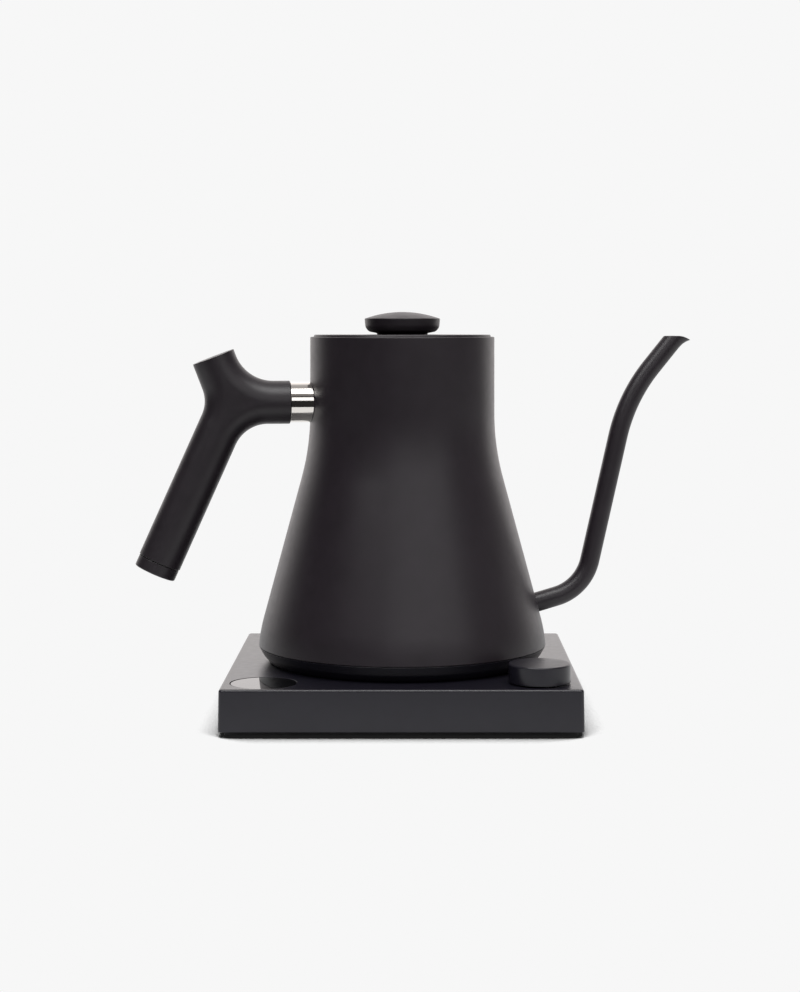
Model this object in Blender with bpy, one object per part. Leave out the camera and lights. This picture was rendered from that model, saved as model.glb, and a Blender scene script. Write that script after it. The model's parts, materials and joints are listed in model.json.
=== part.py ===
"""Gooseneck electric kettle on a square power base, built as separate pieces.

Units are metres with +Z up.  The base stands on Z = 0, the spout points to +X and
the handle to -X.  The kettle and the middle of the base share one upright axis.
Heights below are above the floor; distances sideways are from that axis.
"""
import math

import bmesh
import bpy
from mathutils import Matrix, Vector

MM = 0.001
GAP = 0.3 * MM
CHORD_ERROR = 0.12 * MM
LARGE_STEPS = 36
SMALL_STEPS = 14
SCREW_STEPS = 8

# Base housing and its plate
BASE_TOP_SIDE = 174.4 * MM
BASE_FOOT_SIDE = 175.0 * MM
BASE_FOOT_Z = 2.9 * MM
BASE_TOP_Z = 23.2 * MM
BASE_CORNER = 2.2 * MM
BASE_EDGE = 0.9 * MM
BASE_WALL = 2.2 * MM
BASE_ROOF = 2.4 * MM
PLATE_SIDE = 169.2 * MM
PLATE_LOW_Z = 1.0 * MM
PLATE_HIGH_Z = 3.7 * MM
FOOT_RADIUS = 7.0 * MM
FOOT_HEIGHT = 1.6 * MM
FOOT_PLACE = 72.0 * MM
BOSS_RADIUS = 4.0 * MM
BOSS_LOW_Z = 4.2 * MM
BOSS_PLACES = ((-78.0, -44.0), (78.0, -44.0), (-78.0, 50.0), (78.0, 50.0))
SCREW_SHANK = 1.5 * MM
SCREW_HEAD = 3.2 * MM
SCREW_HEAD_HEIGHT = 1.2 * MM
BASE_SCREW_SEAT_Z = 2.2 * MM
BASE_SCREW_TIP_Z = 13.0 * MM

# Controls on the base
CONTROL_X = 67.0 * MM
CONTROL_Y = -68.8 * MM
LENS_RADIUS = 15.95 * MM
LENS_THICKNESS = 2.0 * MM
LENS_STEPS = 28
DIAL_RADIUS = 15.1 * MM
DIAL_LOW_Z = 23.85 * MM
DIAL_HIGH_Z = 32.9 * MM
DIAL_WALL = 1.6 * MM
DIAL_SHAFT = 3.0 * MM
BUSHING_RADIUS = 4.5 * MM
BOARD_THICKNESS = 1.6 * MM
CONTROL_BOARD_Z = 11.6 * MM
POWER_BOARD_Z = 5.0 * MM
SWITCH_X = 30.0 * MM
SWITCH_Z = 13.0 * MM
SWITCH_TRAVEL = 4.0 * MM
SWITCH_KNOB_WIDTH = 5.0 * MM
SWITCH_KNOB_HEIGHT = 4.4 * MM
GLAND_X = -50.0 * MM
GLAND_Z = 12.5 * MM
GLAND_RADIUS = 6.0 * MM

# Cordless connector
TOWER_RADIUS = 14.5 * MM
TOWER_LOW_Z = 8.0 * MM
TOWER_HIGH_Z = 33.0 * MM
TOWER_FLANGE = 22.0 * MM
TOWER_GROOVE = (6.5 * MM, 11.0 * MM)
TOWER_GROOVE_Z = 24.6 * MM
TOWER_BORE = 4.0 * MM
TOWER_BORE_Z = 22.6 * MM
SOCKET_RADIUS = 19.5 * MM
SOCKET_LOW_Z = 24.2 * MM
SOCKET_HIGH_Z = 38.8 * MM
SOCKET_ROOF_Z = 34.0 * MM

# Kettle body: it rests turned on its base, with the handle brought forward
KETTLE_TURN = math.radians(8)
WALL = 1.0 * MM
RIM_Z = 190.8 * MM
NECK_RADIUS = 47.85 * MM
NECK_CORNER_Z = 134.28 * MM
NECK_BLEND = 128.0 * MM
FOOT_BEND_RADIUS = 73.63 * MM
FOOT_BEND_Z = 38.8 * MM
FOOT_BLEND = 80.0 * MM
SEAM_RADIUS = 74.3 * MM
SEAM_Z = 31.5 * MM
OPENING_RADIUS = 39.0 * MM
COLLAR_LOW_Z = 184.5 * MM
FLOOR_LOW_Z = 43.0 * MM
FLOOR_THICKNESS = 1.0 * MM
COVER_LOW_Z = 23.55 * MM
COVER_INNER_Z = 25.6 * MM
COVER_SCREW_CIRCLE = 60.0 * MM
COVER_SCREW_SEAT_Z = 26.2 * MM
PROBE_RADIUS = 3.0 * MM
PROBE_HOLE = 5.2 * MM
PROBE_HIGH_Z = 54.0 * MM

# Lid
LID_RADIUS = 46.1 * MM
LID_LOW_Z = 191.1 * MM
LID_HIGH_Z = 191.9 * MM
LID_CUP_RADIUS = 37.0 * MM
LID_CUP_LOW_Z = 179.5 * MM
CUP_SCREW_DEPTH = 3.6 * MM
SEAL_LOW_Z = 185.0 * MM
SEAL_HIGH_Z = 189.0 * MM
KNOB_RADIUS = 19.6 * MM
KNOB_EDGE_Z = 200.2 * MM
KNOB_HIGH_Z = 203.7 * MM
KNOB_NECK = 13.0 * MM
KNOB_UNDER_CORNERS = (
    (13.3 * MM, 192.7 * MM),
    (17.4 * MM, 193.5 * MM, 3.0 * MM),
    (19.25 * MM, 195.7 * MM, 4.0 * MM),
)
LID_BORE = 2.3 * MM

# Spout: the corners of its centre line, each with its bend radius, in (x, z)
SPOUT_RADIUS = 5.07 * MM
SPOUT_WALL = 0.8 * MM
SPOUT_SIDES = 14
SPOUT_ROOT = (69.3 * MM, 51.0 * MM)
SPOUT_LOW_CORNER = (96.22 * MM, 58.42 * MM, 25.4 * MM)
SPOUT_HIGH_CORNER = (119.58 * MM, 158.59 * MM, 89.5 * MM)
SPOUT_TIP = (146.44 * MM, 191.15 * MM)
MOUTH_Z = 191.2 * MM
LIP_REACH = 2.2 * MM
LIP_DROOP = 2.1 * MM
LIP_LENGTH = 6.0 * MM

# Handle: three round branches that meet at one point, in (x, z)
HANDLE_JOIN = (-88.87 * MM, 157.08 * MM)
HANDLE_RADIUS = 11.12 * MM
ARM_LENGTH = 30.21 * MM
HORN_LENGTH = 25.2 * MM
HORN_ANGLE = 111.1
GRIP_LENGTH = 95.1 * MM
GRIP_ANGLE = 245.9
ARM_HORN_FILLET = 20.5 * MM
HORN_GRIP_FILLET = 16.8 * MM
GRIP_ARM_FILLET = 18.0 * MM
END_CAP_LENGTH = 5.9 * MM
END_CAP_RADIUS = 10.8 * MM
WEIGHT_RADIUS = 7.5 * MM
COLLAR_RADIUS = 10.4 * MM
COLLAR_STEPS = 20
PAD_THICKNESS = 0.6 * MM
PAD_RADIUS = 11.0 * MM
STUD_RADIUS = 2.5 * MM

PAINT = ("body_paint", (0.012, 0.012, 0.013), 0.42, 0.0)
HANDLE_BLACK = ("handle_plastic", (0.014, 0.014, 0.014), 0.6, 0.0)
BASE_BLACK = ("base_plastic", (0.016, 0.016, 0.017), 0.45, 0.0)
DARK_PLASTIC = ("inner_plastic", (0.03, 0.03, 0.032), 0.55, 0.0)
DISPLAY_BLACK = ("display_gloss", (0.006, 0.006, 0.007), 0.06, 0.0)
BRIGHT_STEEL = ("bright_steel", (0.78, 0.76, 0.73), 0.14, 1.0)
BRUSHED_STEEL = ("brushed_steel", (0.62, 0.61, 0.6), 0.32, 1.0)
ALUMINIUM = ("aluminium", (0.72, 0.73, 0.74), 0.4, 1.0)
BRASS = ("brass", (0.78, 0.58, 0.28), 0.3, 1.0)
RUBBER = ("rubber", (0.02, 0.02, 0.02), 0.85, 0.0)
SILICONE = ("silicone", (0.12, 0.12, 0.13), 0.6, 0.0)
BOARD_GREEN = ("circuit_board", (0.02, 0.12, 0.06), 0.4, 0.0)
RELAY_PLASTIC = ("component_plastic", (0.05, 0.12, 0.35), 0.4, 0.0)


# ---- shared helpers ----

def clear_scene():
    for item in list(bpy.data.objects):
        bpy.data.objects.remove(item)


def finish_of(look):
    """Return the Principled material for a (name, colour, roughness, metallic) look."""
    name, colour, roughness, metallic = look
    found = bpy.data.materials.get(name)
    if found:
        return found
    made = bpy.data.materials.new(name)
    made.use_nodes = True
    shader = made.node_tree.nodes["Principled BSDF"]
    shader.inputs["Base Color"].default_value = (*colour, 1.0)
    shader.inputs["Roughness"].default_value = roughness
    shader.inputs["Metallic"].default_value = metallic
    return made


def add_object(name, bm, look, parent=None, location=(0, 0, 0), crease=35):
    """Turn a bmesh into a smooth-shaded object with sharp edges above the crease angle."""
    bmesh.ops.recalc_face_normals(bm, faces=bm.faces)
    mesh = bpy.data.meshes.new(name)
    bm.to_mesh(mesh)
    bm.free()
    mesh.shade_smooth()
    mesh.set_sharp_from_angle(angle=math.radians(crease))
    mesh.materials.append(finish_of(look))
    made = bpy.data.objects.new(name, mesh)
    bpy.context.scene.collection.objects.link(made)
    made.location = location
    made.parent = parent
    return made


def add_empty(name, location, parent=None):
    made = bpy.data.objects.new(name, None)
    made.empty_display_size = 0.01
    made.location = location
    made.parent = parent
    bpy.context.scene.collection.objects.link(made)
    return made


def combine(target, tool, operation):
    """Cut a tool from the target, or join it to the target, and keep the tool as a guide."""
    change = target.modifiers.new(tool.name, "BOOLEAN")
    change.operation = operation
    change.solver = "EXACT"
    change.object = tool
    tool.hide_render = True
    tool.display_type = "WIRE"
    if tool.parent is None:
        tool.parent = target.parent


def rounded_outline(corners, closed=True):
    """Return (a, b) points of an outline whose (a, b, radius) corners become arcs."""
    points = []
    last = len(corners) - 1
    for index, corner in enumerate(corners):
        here = Vector(corner[:2])
        radius = corner[2] if len(corner) > 2 else 0
        if not radius or (not closed and index in (0, last)):
            points.append(tuple(here))
            continue
        before = (Vector(corners[index - 1][:2]) - here).normalized()
        after = (Vector(corners[(index + 1) % len(corners)][:2]) - here).normalized()
        half = before.angle(after) / 2
        middle = here + (before + after).normalized() * radius / math.sin(half)
        start = here + before * radius / math.tan(half) - middle
        end = here + after * radius / math.tan(half) - middle
        turn = math.atan2(start.x * end.y - start.y * end.x, start.dot(end))
        step = 2 * math.acos(1 - min(CHORD_ERROR / radius, 0.3))
        count = math.ceil(abs(turn) / step)
        for part in range(count + 1):
            spoke = Matrix.Rotation(turn * part / count, 2) @ start
            points.append(tuple(middle + spoke))
    return points


def open_outline(corners):
    """Round the inner corners of a line that isn't closed."""
    return rounded_outline(corners, closed=False)


def bridge_rings(bm, first, second):
    """Join two rings of vertices; a ring may be a single vertex on the axis."""
    steps = max(len(first), len(second))
    for index in range(steps):
        following = (index + 1) % steps
        corners = (
            first[index % len(first)],
            first[following % len(first)],
            second[following % len(second)],
            second[index % len(second)],
        )
        bm.faces.new(dict.fromkeys(corners))


def turned(name, outline, look, parent=None, location=(0, 0, 0), steps=SMALL_STEPS):
    """Turn an outline of (radius, height[, corner radius]) points about Z.

    An outline that starts and ends on the axis makes a solid; any other is a ring.
    """
    bm = bmesh.new()
    rings = []
    for radius, height in rounded_outline(outline):
        if radius == 0:
            rings.append([bm.verts.new((0, 0, height))])
            continue
        angles = [2 * math.pi * index / steps for index in range(steps)]
        ring = [bm.verts.new((radius * math.cos(a), radius * math.sin(a), height)) for a in angles]
        rings.append(ring)
    for first, second in zip(rings, rings[1:] + rings[:1]):
        if len(first) > 1 or len(second) > 1:
            bridge_rings(bm, first, second)
    return add_object(name, bm, look, parent, location)


def disc(name, radius, low, high, look, parent=None, place=(0, 0), edge=0, steps=SMALL_STEPS):
    outline = [(0, low), (radius, low, edge), (radius, high, edge), (0, high)]
    return turned(name, outline, look, parent, (*place, 0), steps)


def block(name, size, middle, look, parent=None, edge=0.4 * MM):
    """Make a box with chamfered edges."""
    bm = bmesh.new()
    bmesh.ops.create_cube(bm, size=1, matrix=Matrix.Diagonal((*size, 1)))
    if edge:
        bmesh.ops.bevel(bm, geom=bm.edges, offset=edge, segments=1, affect="EDGES")
    return add_object(name, bm, look, parent, middle)


def swept(name, stations, look, parent=None, closed=False):
    """Skin rings of points; the ends are filled, or joined to each other if closed."""
    bm = bmesh.new()
    rings = [[bm.verts.new(point) for point in ring] for ring in stations]
    for first, second in zip(rings, rings[1:]):
        bridge_rings(bm, first, second)
    if closed:
        bridge_rings(bm, rings[-1], rings[0])
    else:
        bm.faces.new(rings[0])
        bm.faces.new(rings[-1])
    return add_object(name, bm, look, parent)


def point_along(start, angle, distance):
    """Return the (x, z) point at a distance from start, at an angle above +X."""
    turn = math.radians(angle)
    return (start[0] + distance * math.cos(turn), start[1] + distance * math.sin(turn))


def rod(name, start, angle, length, radius, look, parent=None, steps=16):
    """Make a cylinder in the XZ plane from an (x, z) point, at an angle above +X."""
    made = disc(name, radius, 0, length, look, parent, steps=steps)
    made.location = (start[0], 0, start[1])
    made.rotation_euler = (0, math.radians(90 - angle), 0)
    return made


# ---- base ----

def base_housing(frame):
    """Square cover, open below, with holes for the controls and the connector."""
    bm = bmesh.new()
    rings = []
    edge = BASE_EDGE
    lean = (BASE_FOOT_SIDE - BASE_TOP_SIDE) / 2
    low_edge = 0.5 * MM
    levels = [(low_edge, BASE_FOOT_Z), (0, BASE_FOOT_Z + low_edge)]
    for turn in range(0, 91, 30):
        inset = edge * (1 - math.cos(math.radians(turn)))
        levels.append((lean + inset, BASE_TOP_Z - edge * (1 - math.sin(math.radians(turn)))))
    for inset, height in levels:
        half = BASE_FOOT_SIDE / 2 - inset
        outline = square_outline(half, BASE_CORNER - inset)
        rings.append([bm.verts.new((x, y, height)) for x, y in outline])
    for first, second in zip(rings, rings[1:]):
        bridge_rings(bm, first, second)
    bm.faces.new(rings[0])
    bm.faces.new(rings[-1])
    housing = add_object("base_housing", bm, BASE_BLACK, frame)
    inner_side = BASE_FOOT_SIDE - 2 * BASE_WALL
    roof_z = BASE_TOP_Z - BASE_ROOF
    hollow = square_prism("base_hollow", inner_side, inner_side - 2 * lean, -1 * MM, roof_z)
    combine(housing, hollow, "DIFFERENCE")
    bore_high = 16 * MM
    for number, place in enumerate(boss_places(), 1):
        boss = screw_boss(f"boss_guide_{number}", BOSS_RADIUS, BOSS_LOW_Z, roof_z + 1 * MM, bore_high, place)
        combine(housing, boss, "UNION")
    holes = (
        ("tower_hole", TOWER_RADIUS + 0.5 * MM, (0, 0), LARGE_STEPS),
        ("lens_hole", LENS_RADIUS + GAP, (-CONTROL_X, CONTROL_Y), LENS_STEPS),
        ("bushing_hole", BUSHING_RADIUS + GAP, (CONTROL_X, CONTROL_Y), SMALL_STEPS),
    )
    for name, radius, place, steps in holes:
        hole = disc(name, radius, roof_z - 1 * MM, BASE_TOP_Z + 1 * MM, BASE_BLACK, place=place, steps=steps)
        combine(housing, hole, "DIFFERENCE")
    slot_width = SWITCH_KNOB_WIDTH + SWITCH_TRAVEL + 2 * GAP
    slot_size = (slot_width, 4 * BASE_WALL, SWITCH_KNOB_HEIGHT + 2 * GAP)
    slot_middle = (SWITCH_X + SWITCH_TRAVEL / 2, BASE_FOOT_SIDE / 2, SWITCH_Z)
    slot = block("switch_slot", slot_size, slot_middle, BASE_BLACK, edge=0)
    combine(housing, slot, "DIFFERENCE")
    gland_hole = disc("gland_hole", GLAND_RADIUS + GAP, -2 * BASE_WALL, 2 * BASE_WALL, BASE_BLACK)
    gland_hole.location = (GLAND_X, BASE_FOOT_SIDE / 2, GLAND_Z)
    gland_hole.rotation_euler = (math.radians(90), 0, 0)
    combine(housing, gland_hole, "DIFFERENCE")


def boss_places():
    return [(x * MM, y * MM) for x, y in BOSS_PLACES]


def screw_boss(name, radius, low, high, bore_high, place):
    """Make a post with a blind screw hole in its lower end."""
    bore = SCREW_SHANK + GAP
    outline = [(0, bore_high), (bore, bore_high), (bore, low), (radius, low), (radius, high), (0, high)]
    return turned(name, outline, DARK_PLASTIC, None, (*place, 0), SCREW_STEPS)


def screw_hole(name, low, seat, high, place):
    """Make the cutter for a screw's hole, wider below the seat of its head."""
    bore = SCREW_SHANK + GAP
    wide = SCREW_HEAD + GAP
    outline = [(0, low), (wide, low), (wide, seat), (bore, seat), (bore, high), (0, high)]
    return turned(name, outline, DARK_PLASTIC, None, (*place, 0), SCREW_STEPS)


def square_outline(half, corner):
    """Return a square's outline whose corners are arcs of three stretches each."""
    points = []
    for quarter in range(4):
        for part in range(4):
            turn = math.radians(90 * quarter + 30 * part)
            side_x = (half - corner) * (1 if quarter in (0, 3) else -1)
            side_y = (half - corner) * (1 if quarter in (0, 1) else -1)
            points.append((side_x + corner * math.cos(turn), side_y + corner * math.sin(turn)))
    return points


def square_prism(name, low_side, high_side, low, high, look=BASE_BLACK, parent=None, corner=1.2 * MM):
    bm = bmesh.new()
    rings = []
    for side, height in ((low_side, low), (high_side, high)):
        outline = square_outline(side / 2, corner)
        rings.append([bm.verts.new((x, y, height)) for x, y in outline])
    bridge_rings(bm, *rings)
    bm.faces.new(rings[0])
    bm.faces.new(rings[1])
    return add_object(name, bm, look, parent)


def base_plate(frame):
    """Bottom plate with foot pockets, screw counterbores and posts for the boards."""
    plate = square_prism("base_plate", PLATE_SIDE, PLATE_SIDE, PLATE_LOW_Z, PLATE_HIGH_Z, DARK_PLASTIC, frame)
    posts = [(x * MM, y * MM, CONTROL_BOARD_Z) for x in (-45, 45) for y in (-80, -56)]
    posts += [(x * MM, y * MM, POWER_BOARD_Z) for x in (-38, 38) for y in (30, 70)]
    post_radius = 2.5 * MM
    inside_plate = 2 * MM
    for number, (x, y, top) in enumerate(posts, 1):
        name = f"post_guide_{number}"
        post = disc(name, post_radius, inside_plate, top - GAP, DARK_PLASTIC, place=(x, y), steps=6)
        combine(plate, post, "UNION")
    pedestal = disc("pedestal_guide", 13 * MM, inside_plate, TOWER_LOW_Z - GAP, DARK_PLASTIC)
    combine(plate, pedestal, "UNION")
    for number, place in enumerate(foot_places(), 1):
        name = f"foot_pocket_{number}"
        pocket = disc(name, FOOT_RADIUS + GAP, 0, FOOT_HEIGHT + GAP, DARK_PLASTIC, place=place)
        combine(plate, pocket, "DIFFERENCE")
    for number, place in enumerate(boss_places(), 1):
        hole = screw_hole(f"plate_hole_{number}", 0, BASE_SCREW_SEAT_Z + GAP, 5 * MM, place)
        combine(plate, hole, "DIFFERENCE")


def foot_places():
    return [(x, y) for x in (-FOOT_PLACE, FOOT_PLACE) for y in (-FOOT_PLACE, FOOT_PLACE)]


def feet_and_base_screws(frame):
    for number, place in enumerate(foot_places(), 1):
        disc(f"foot_{number}", FOOT_RADIUS, 0, FOOT_HEIGHT, RUBBER, frame, place, edge=0.3 * MM)
    for number, place in enumerate(boss_places(), 1):
        screw(f"base_screw_{number}", BASE_SCREW_SEAT_Z, BASE_SCREW_TIP_Z, frame, place)


def screw(name, head_z, tip_z, parent, place, shank=SCREW_SHANK, head=SCREW_HEAD):
    """Upright pan-head screw, head down, with a round driver recess in its head."""
    recess = head * 0.45
    recess_z = head_z - 0.4 * MM
    outline = [
        (0, recess_z),
        (recess * 0.6, recess_z),
        (recess, head_z - SCREW_HEAD_HEIGHT),
        (head, head_z - SCREW_HEAD_HEIGHT, 0.3 * MM),
        (head, head_z),
        (shank, head_z),
        (shank, tip_z - shank),
        (0, tip_z),
    ]
    return turned(name, outline, BRUSHED_STEEL, parent, (*place, 0), SCREW_STEPS)


def display(frame):
    place = (-CONTROL_X, CONTROL_Y)
    low = BASE_TOP_Z - LENS_THICKNESS
    disc("display_lens", LENS_RADIUS, low, BASE_TOP_Z, DISPLAY_BLACK, frame, place, steps=LENS_STEPS)
    board_top = CONTROL_BOARD_Z + BOARD_THICKNESS
    module_radius = LENS_RADIUS - 1.45 * MM
    disc("display_module", module_radius, board_top + GAP, low - GAP, DARK_PLASTIC, frame, place)


def circuit_boards(frame):
    """Control board at the front and power board at the back, with its large components."""
    front = block(
        "control_board",
        (144 * MM, 33 * MM, BOARD_THICKNESS),
        (2 * MM, -67.5 * MM, CONTROL_BOARD_Z + BOARD_THICKNESS / 2),
        BOARD_GREEN,
        frame,
        edge=0,
    )
    pin_place = (CONTROL_X, CONTROL_Y - 11 * MM)
    pin_hole = disc("pin_hole", 1.2 * MM, 8 * MM, 20 * MM, BOARD_GREEN, place=pin_place, steps=8)
    combine(front, pin_hole, "DIFFERENCE")
    block(
        "power_board",
        (90 * MM, 52 * MM, BOARD_THICKNESS),
        (0, 50 * MM, POWER_BOARD_Z + BOARD_THICKNESS / 2),
        BOARD_GREEN,
        frame,
        edge=0,
    )
    seat = POWER_BOARD_Z + BOARD_THICKNESS + GAP
    relay_size = (19 * MM, 15.5 * MM, 12 * MM)
    block("relay", relay_size, (-28 * MM, 40 * MM, seat + relay_size[2] / 2), RELAY_PLASTIC, frame)
    coil_size = (20 * MM, 17 * MM, 13 * MM)
    block("transformer", coil_size, (0, 48 * MM, seat + coil_size[2] / 2), DARK_PLASTIC, frame)
    can_place = (28 * MM, 42 * MM)
    disc("capacitor", 5 * MM, seat, seat + 12.5 * MM, ALUMINIUM, frame, can_place, 0.6 * MM, 20)


def dial(dial_axis):
    """Turning and pressing dial on a rotary encoder that stands on the control board."""
    seat = CONTROL_BOARD_Z + BOARD_THICKNESS + GAP
    bushing_high = BASE_TOP_Z - GAP
    bore = DIAL_SHAFT + GAP
    body_radius = 6.5 * MM
    body_high = seat + 6.6 * MM
    cavity_radius = 5.4 * MM
    cavity_low = seat + 2.0 * MM
    cavity_high = seat + 5.0 * MM
    outline = [
        (bore, seat),
        (body_radius, seat, 0.3 * MM),
        (body_radius, body_high, 0.3 * MM),
        (BUSHING_RADIUS, body_high),
        (BUSHING_RADIUS, bushing_high, 0.3 * MM),
        (bore, bushing_high),
        (bore, cavity_high),
        (cavity_radius, cavity_high),
        (cavity_radius, cavity_low),
        (bore, cavity_low),
    ]
    turned("encoder_housing", outline, BRUSHED_STEEL, dial_axis)
    sleeve("encoder_rotor", bore, cavity_radius - GAP, cavity_low + GAP, cavity_high - GAP, BRASS, dial_axis)
    dome = [
        (0, seat + 0.6 * MM),
        (1.6 * MM, seat + 0.4 * MM),
        (2.4 * MM, seat),
        (2.7 * MM, seat),
        (2.7 * MM, seat + 0.3 * MM),
        (1.7 * MM, seat + 0.8 * MM),
        (0, seat + 1.0 * MM),
    ]
    turned("encoder_dome", dome, BRUSHED_STEEL, dial_axis, steps=16)
    shaft_high = DIAL_HIGH_Z - DIAL_WALL - GAP
    disc("dial_shaft", DIAL_SHAFT, seat + 1.3 * MM, shaft_high, BRUSHED_STEEL, dial_axis, edge=0.4 * MM)
    hub = bore + 1.5 * MM
    hub_low = DIAL_LOW_Z + 0.8 * MM
    skirt = DIAL_RADIUS - DIAL_WALL
    under = DIAL_HIGH_Z - DIAL_WALL
    cap = [
        (0, DIAL_HIGH_Z),
        (DIAL_RADIUS, DIAL_HIGH_Z, 0.5 * MM),
        (DIAL_RADIUS, DIAL_LOW_Z, 0.4 * MM),
        (skirt, DIAL_LOW_Z),
        (skirt, under),
        (hub, under),
        (hub, hub_low),
        (bore, hub_low),
        (bore, under),
        (0, under),
    ]
    turned("dial_cap", cap, BASE_BLACK, dial_axis, steps=LENS_STEPS)


def hold_switch(frame):
    """Slide switch whose ribbed thumb piece sits in a slot in the back wall."""
    inner_face = BASE_FOOT_SIDE / 2 - BASE_WALL - 0.25 * MM
    plate_size = (17 * MM, 1.2 * MM, 8 * MM)
    plate_y = inner_face - GAP - plate_size[1] / 2
    plate_middle = (SWITCH_X, plate_y, SWITCH_Z)
    slider = block("hold_slider", plate_size, plate_middle, DARK_PLASTIC, frame, edge=0)
    knob_low = plate_y - GAP
    knob_high = BASE_FOOT_SIDE / 2 - 0.7 * MM
    knob_size = (SWITCH_KNOB_WIDTH, knob_high - knob_low, SWITCH_KNOB_HEIGHT)
    knob_middle = (SWITCH_X, (knob_low + knob_high) / 2, SWITCH_Z)
    knob = block("slider_knob", knob_size, knob_middle, DARK_PLASTIC, frame)
    combine(slider, knob, "UNION")
    body_size = (20 * MM, 6 * MM, 10 * MM)
    body_y = plate_y - plate_size[1] / 2 - GAP - body_size[1] / 2
    block("hold_switch_body", body_size, (SWITCH_X, body_y, SWITCH_Z), BRUSHED_STEEL, frame)


def cord_gland(frame):
    """Round gland in the back wall; its outer face stays just inside the wall's face."""
    outer = 0.6 * MM
    hole = 3.4 * MM
    hole_depth = outer + 2.5 * MM
    flange = GLAND_RADIUS + 2.5 * MM
    flange_face = BASE_WALL + 0.6 * MM
    depth = 6.0 * MM
    outline = [
        (0, hole_depth),
        (hole, hole_depth),
        (hole, outer, 0.4 * MM),
        (GLAND_RADIUS, outer, 0.5 * MM),
        (GLAND_RADIUS, flange_face),
        (flange, flange_face),
        (flange, depth),
        (0, depth),
    ]
    gland = turned("cord_gland", outline, RUBBER, frame)
    gland.location = (GLAND_X, BASE_FOOT_SIDE / 2, GLAND_Z)
    gland.rotation_euler = (math.radians(90), 0, 0)


# ---- cordless connector ----

def base_connector(frame):
    """Round tower with a ring groove and a middle bore, and its two contact sleeves."""
    flange_high = BASE_TOP_Z - BASE_ROOF - GAP
    flange_low = flange_high - 2.5 * MM
    groove_inner, groove_outer = TOWER_GROOVE
    drum = 16.0 * MM
    outline = [
        (0, TOWER_BORE_Z),
        (TOWER_BORE, TOWER_BORE_Z),
        (TOWER_BORE, TOWER_HIGH_Z),
        (groove_inner, TOWER_HIGH_Z),
        (groove_inner, TOWER_GROOVE_Z),
        (groove_outer, TOWER_GROOVE_Z),
        (groove_outer, TOWER_HIGH_Z),
        (TOWER_RADIUS, TOWER_HIGH_Z, 0.8 * MM),
        (TOWER_RADIUS, flange_high),
        (TOWER_FLANGE, flange_high),
        (TOWER_FLANGE, flange_low),
        (drum, flange_low),
        (drum, TOWER_LOW_Z),
        (0, TOWER_LOW_Z),
    ]
    turned("base_connector", outline, DARK_PLASTIC, frame, steps=LARGE_STEPS)
    contact_wall = 0.6 * MM
    contact_high = TOWER_HIGH_Z - 2 * MM
    for name, hole, low in (
        ("live_contact", TOWER_BORE, TOWER_BORE_Z),
        ("neutral_contact", groove_outer, TOWER_GROOVE_Z),
    ):
        outer = hole - GAP
        sleeve(name, outer - contact_wall, outer, low + GAP, contact_high, BRASS, frame)


def sleeve(name, inner, outer, low, high, look, parent, steps=SMALL_STEPS):
    outline = [(inner, low), (outer, low), (outer, high), (inner, high)]
    return turned(name, outline, look, parent, steps=steps)


def kettle_connector(kettle_axis):
    """Round socket under the kettle that drops over the base's tower from above."""
    inner = TOWER_RADIUS + 0.6 * MM
    pin = 2.5 * MM
    pin_hole = pin + 0.4 * MM
    ring_inner, ring_outer = 7.4 * MM, 9.4 * MM
    pocket_inner, pocket_outer = ring_inner - 0.4 * MM, ring_outer + 0.4 * MM
    pocket_high = SOCKET_ROOF_Z + 2 * MM
    mouth = 1.2 * MM
    outline = [
        (pin_hole, SOCKET_ROOF_Z),
        (pocket_inner, SOCKET_ROOF_Z),
        (pocket_inner, pocket_high),
        (pocket_outer, pocket_high),
        (pocket_outer, SOCKET_ROOF_Z),
        (inner, SOCKET_ROOF_Z),
        (inner, SOCKET_LOW_Z + mouth),
        (inner + 0.8 * MM, SOCKET_LOW_Z),
        (SOCKET_RADIUS, SOCKET_LOW_Z),
        (SOCKET_RADIUS, SOCKET_HIGH_Z),
        (pin_hole, SOCKET_HIGH_Z),
    ]
    turned("kettle_connector", outline, DARK_PLASTIC, kettle_axis, steps=LARGE_STEPS)
    pin_low, pin_high = 24.6 * MM, SOCKET_HIGH_Z - 0.4 * MM
    pin_outline = [(0, pin_low), (pin, pin_low, 1.0 * MM), (pin, pin_high), (0, pin_high)]
    turned("socket_pin", pin_outline, BRASS, kettle_axis, steps=16)
    ring_low, ring_high = 26.0 * MM, pocket_high - 0.4 * MM
    sleeve("socket_ring", ring_inner, ring_outer, ring_low, ring_high, BRASS, kettle_axis)


# ---- kettle ----

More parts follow.
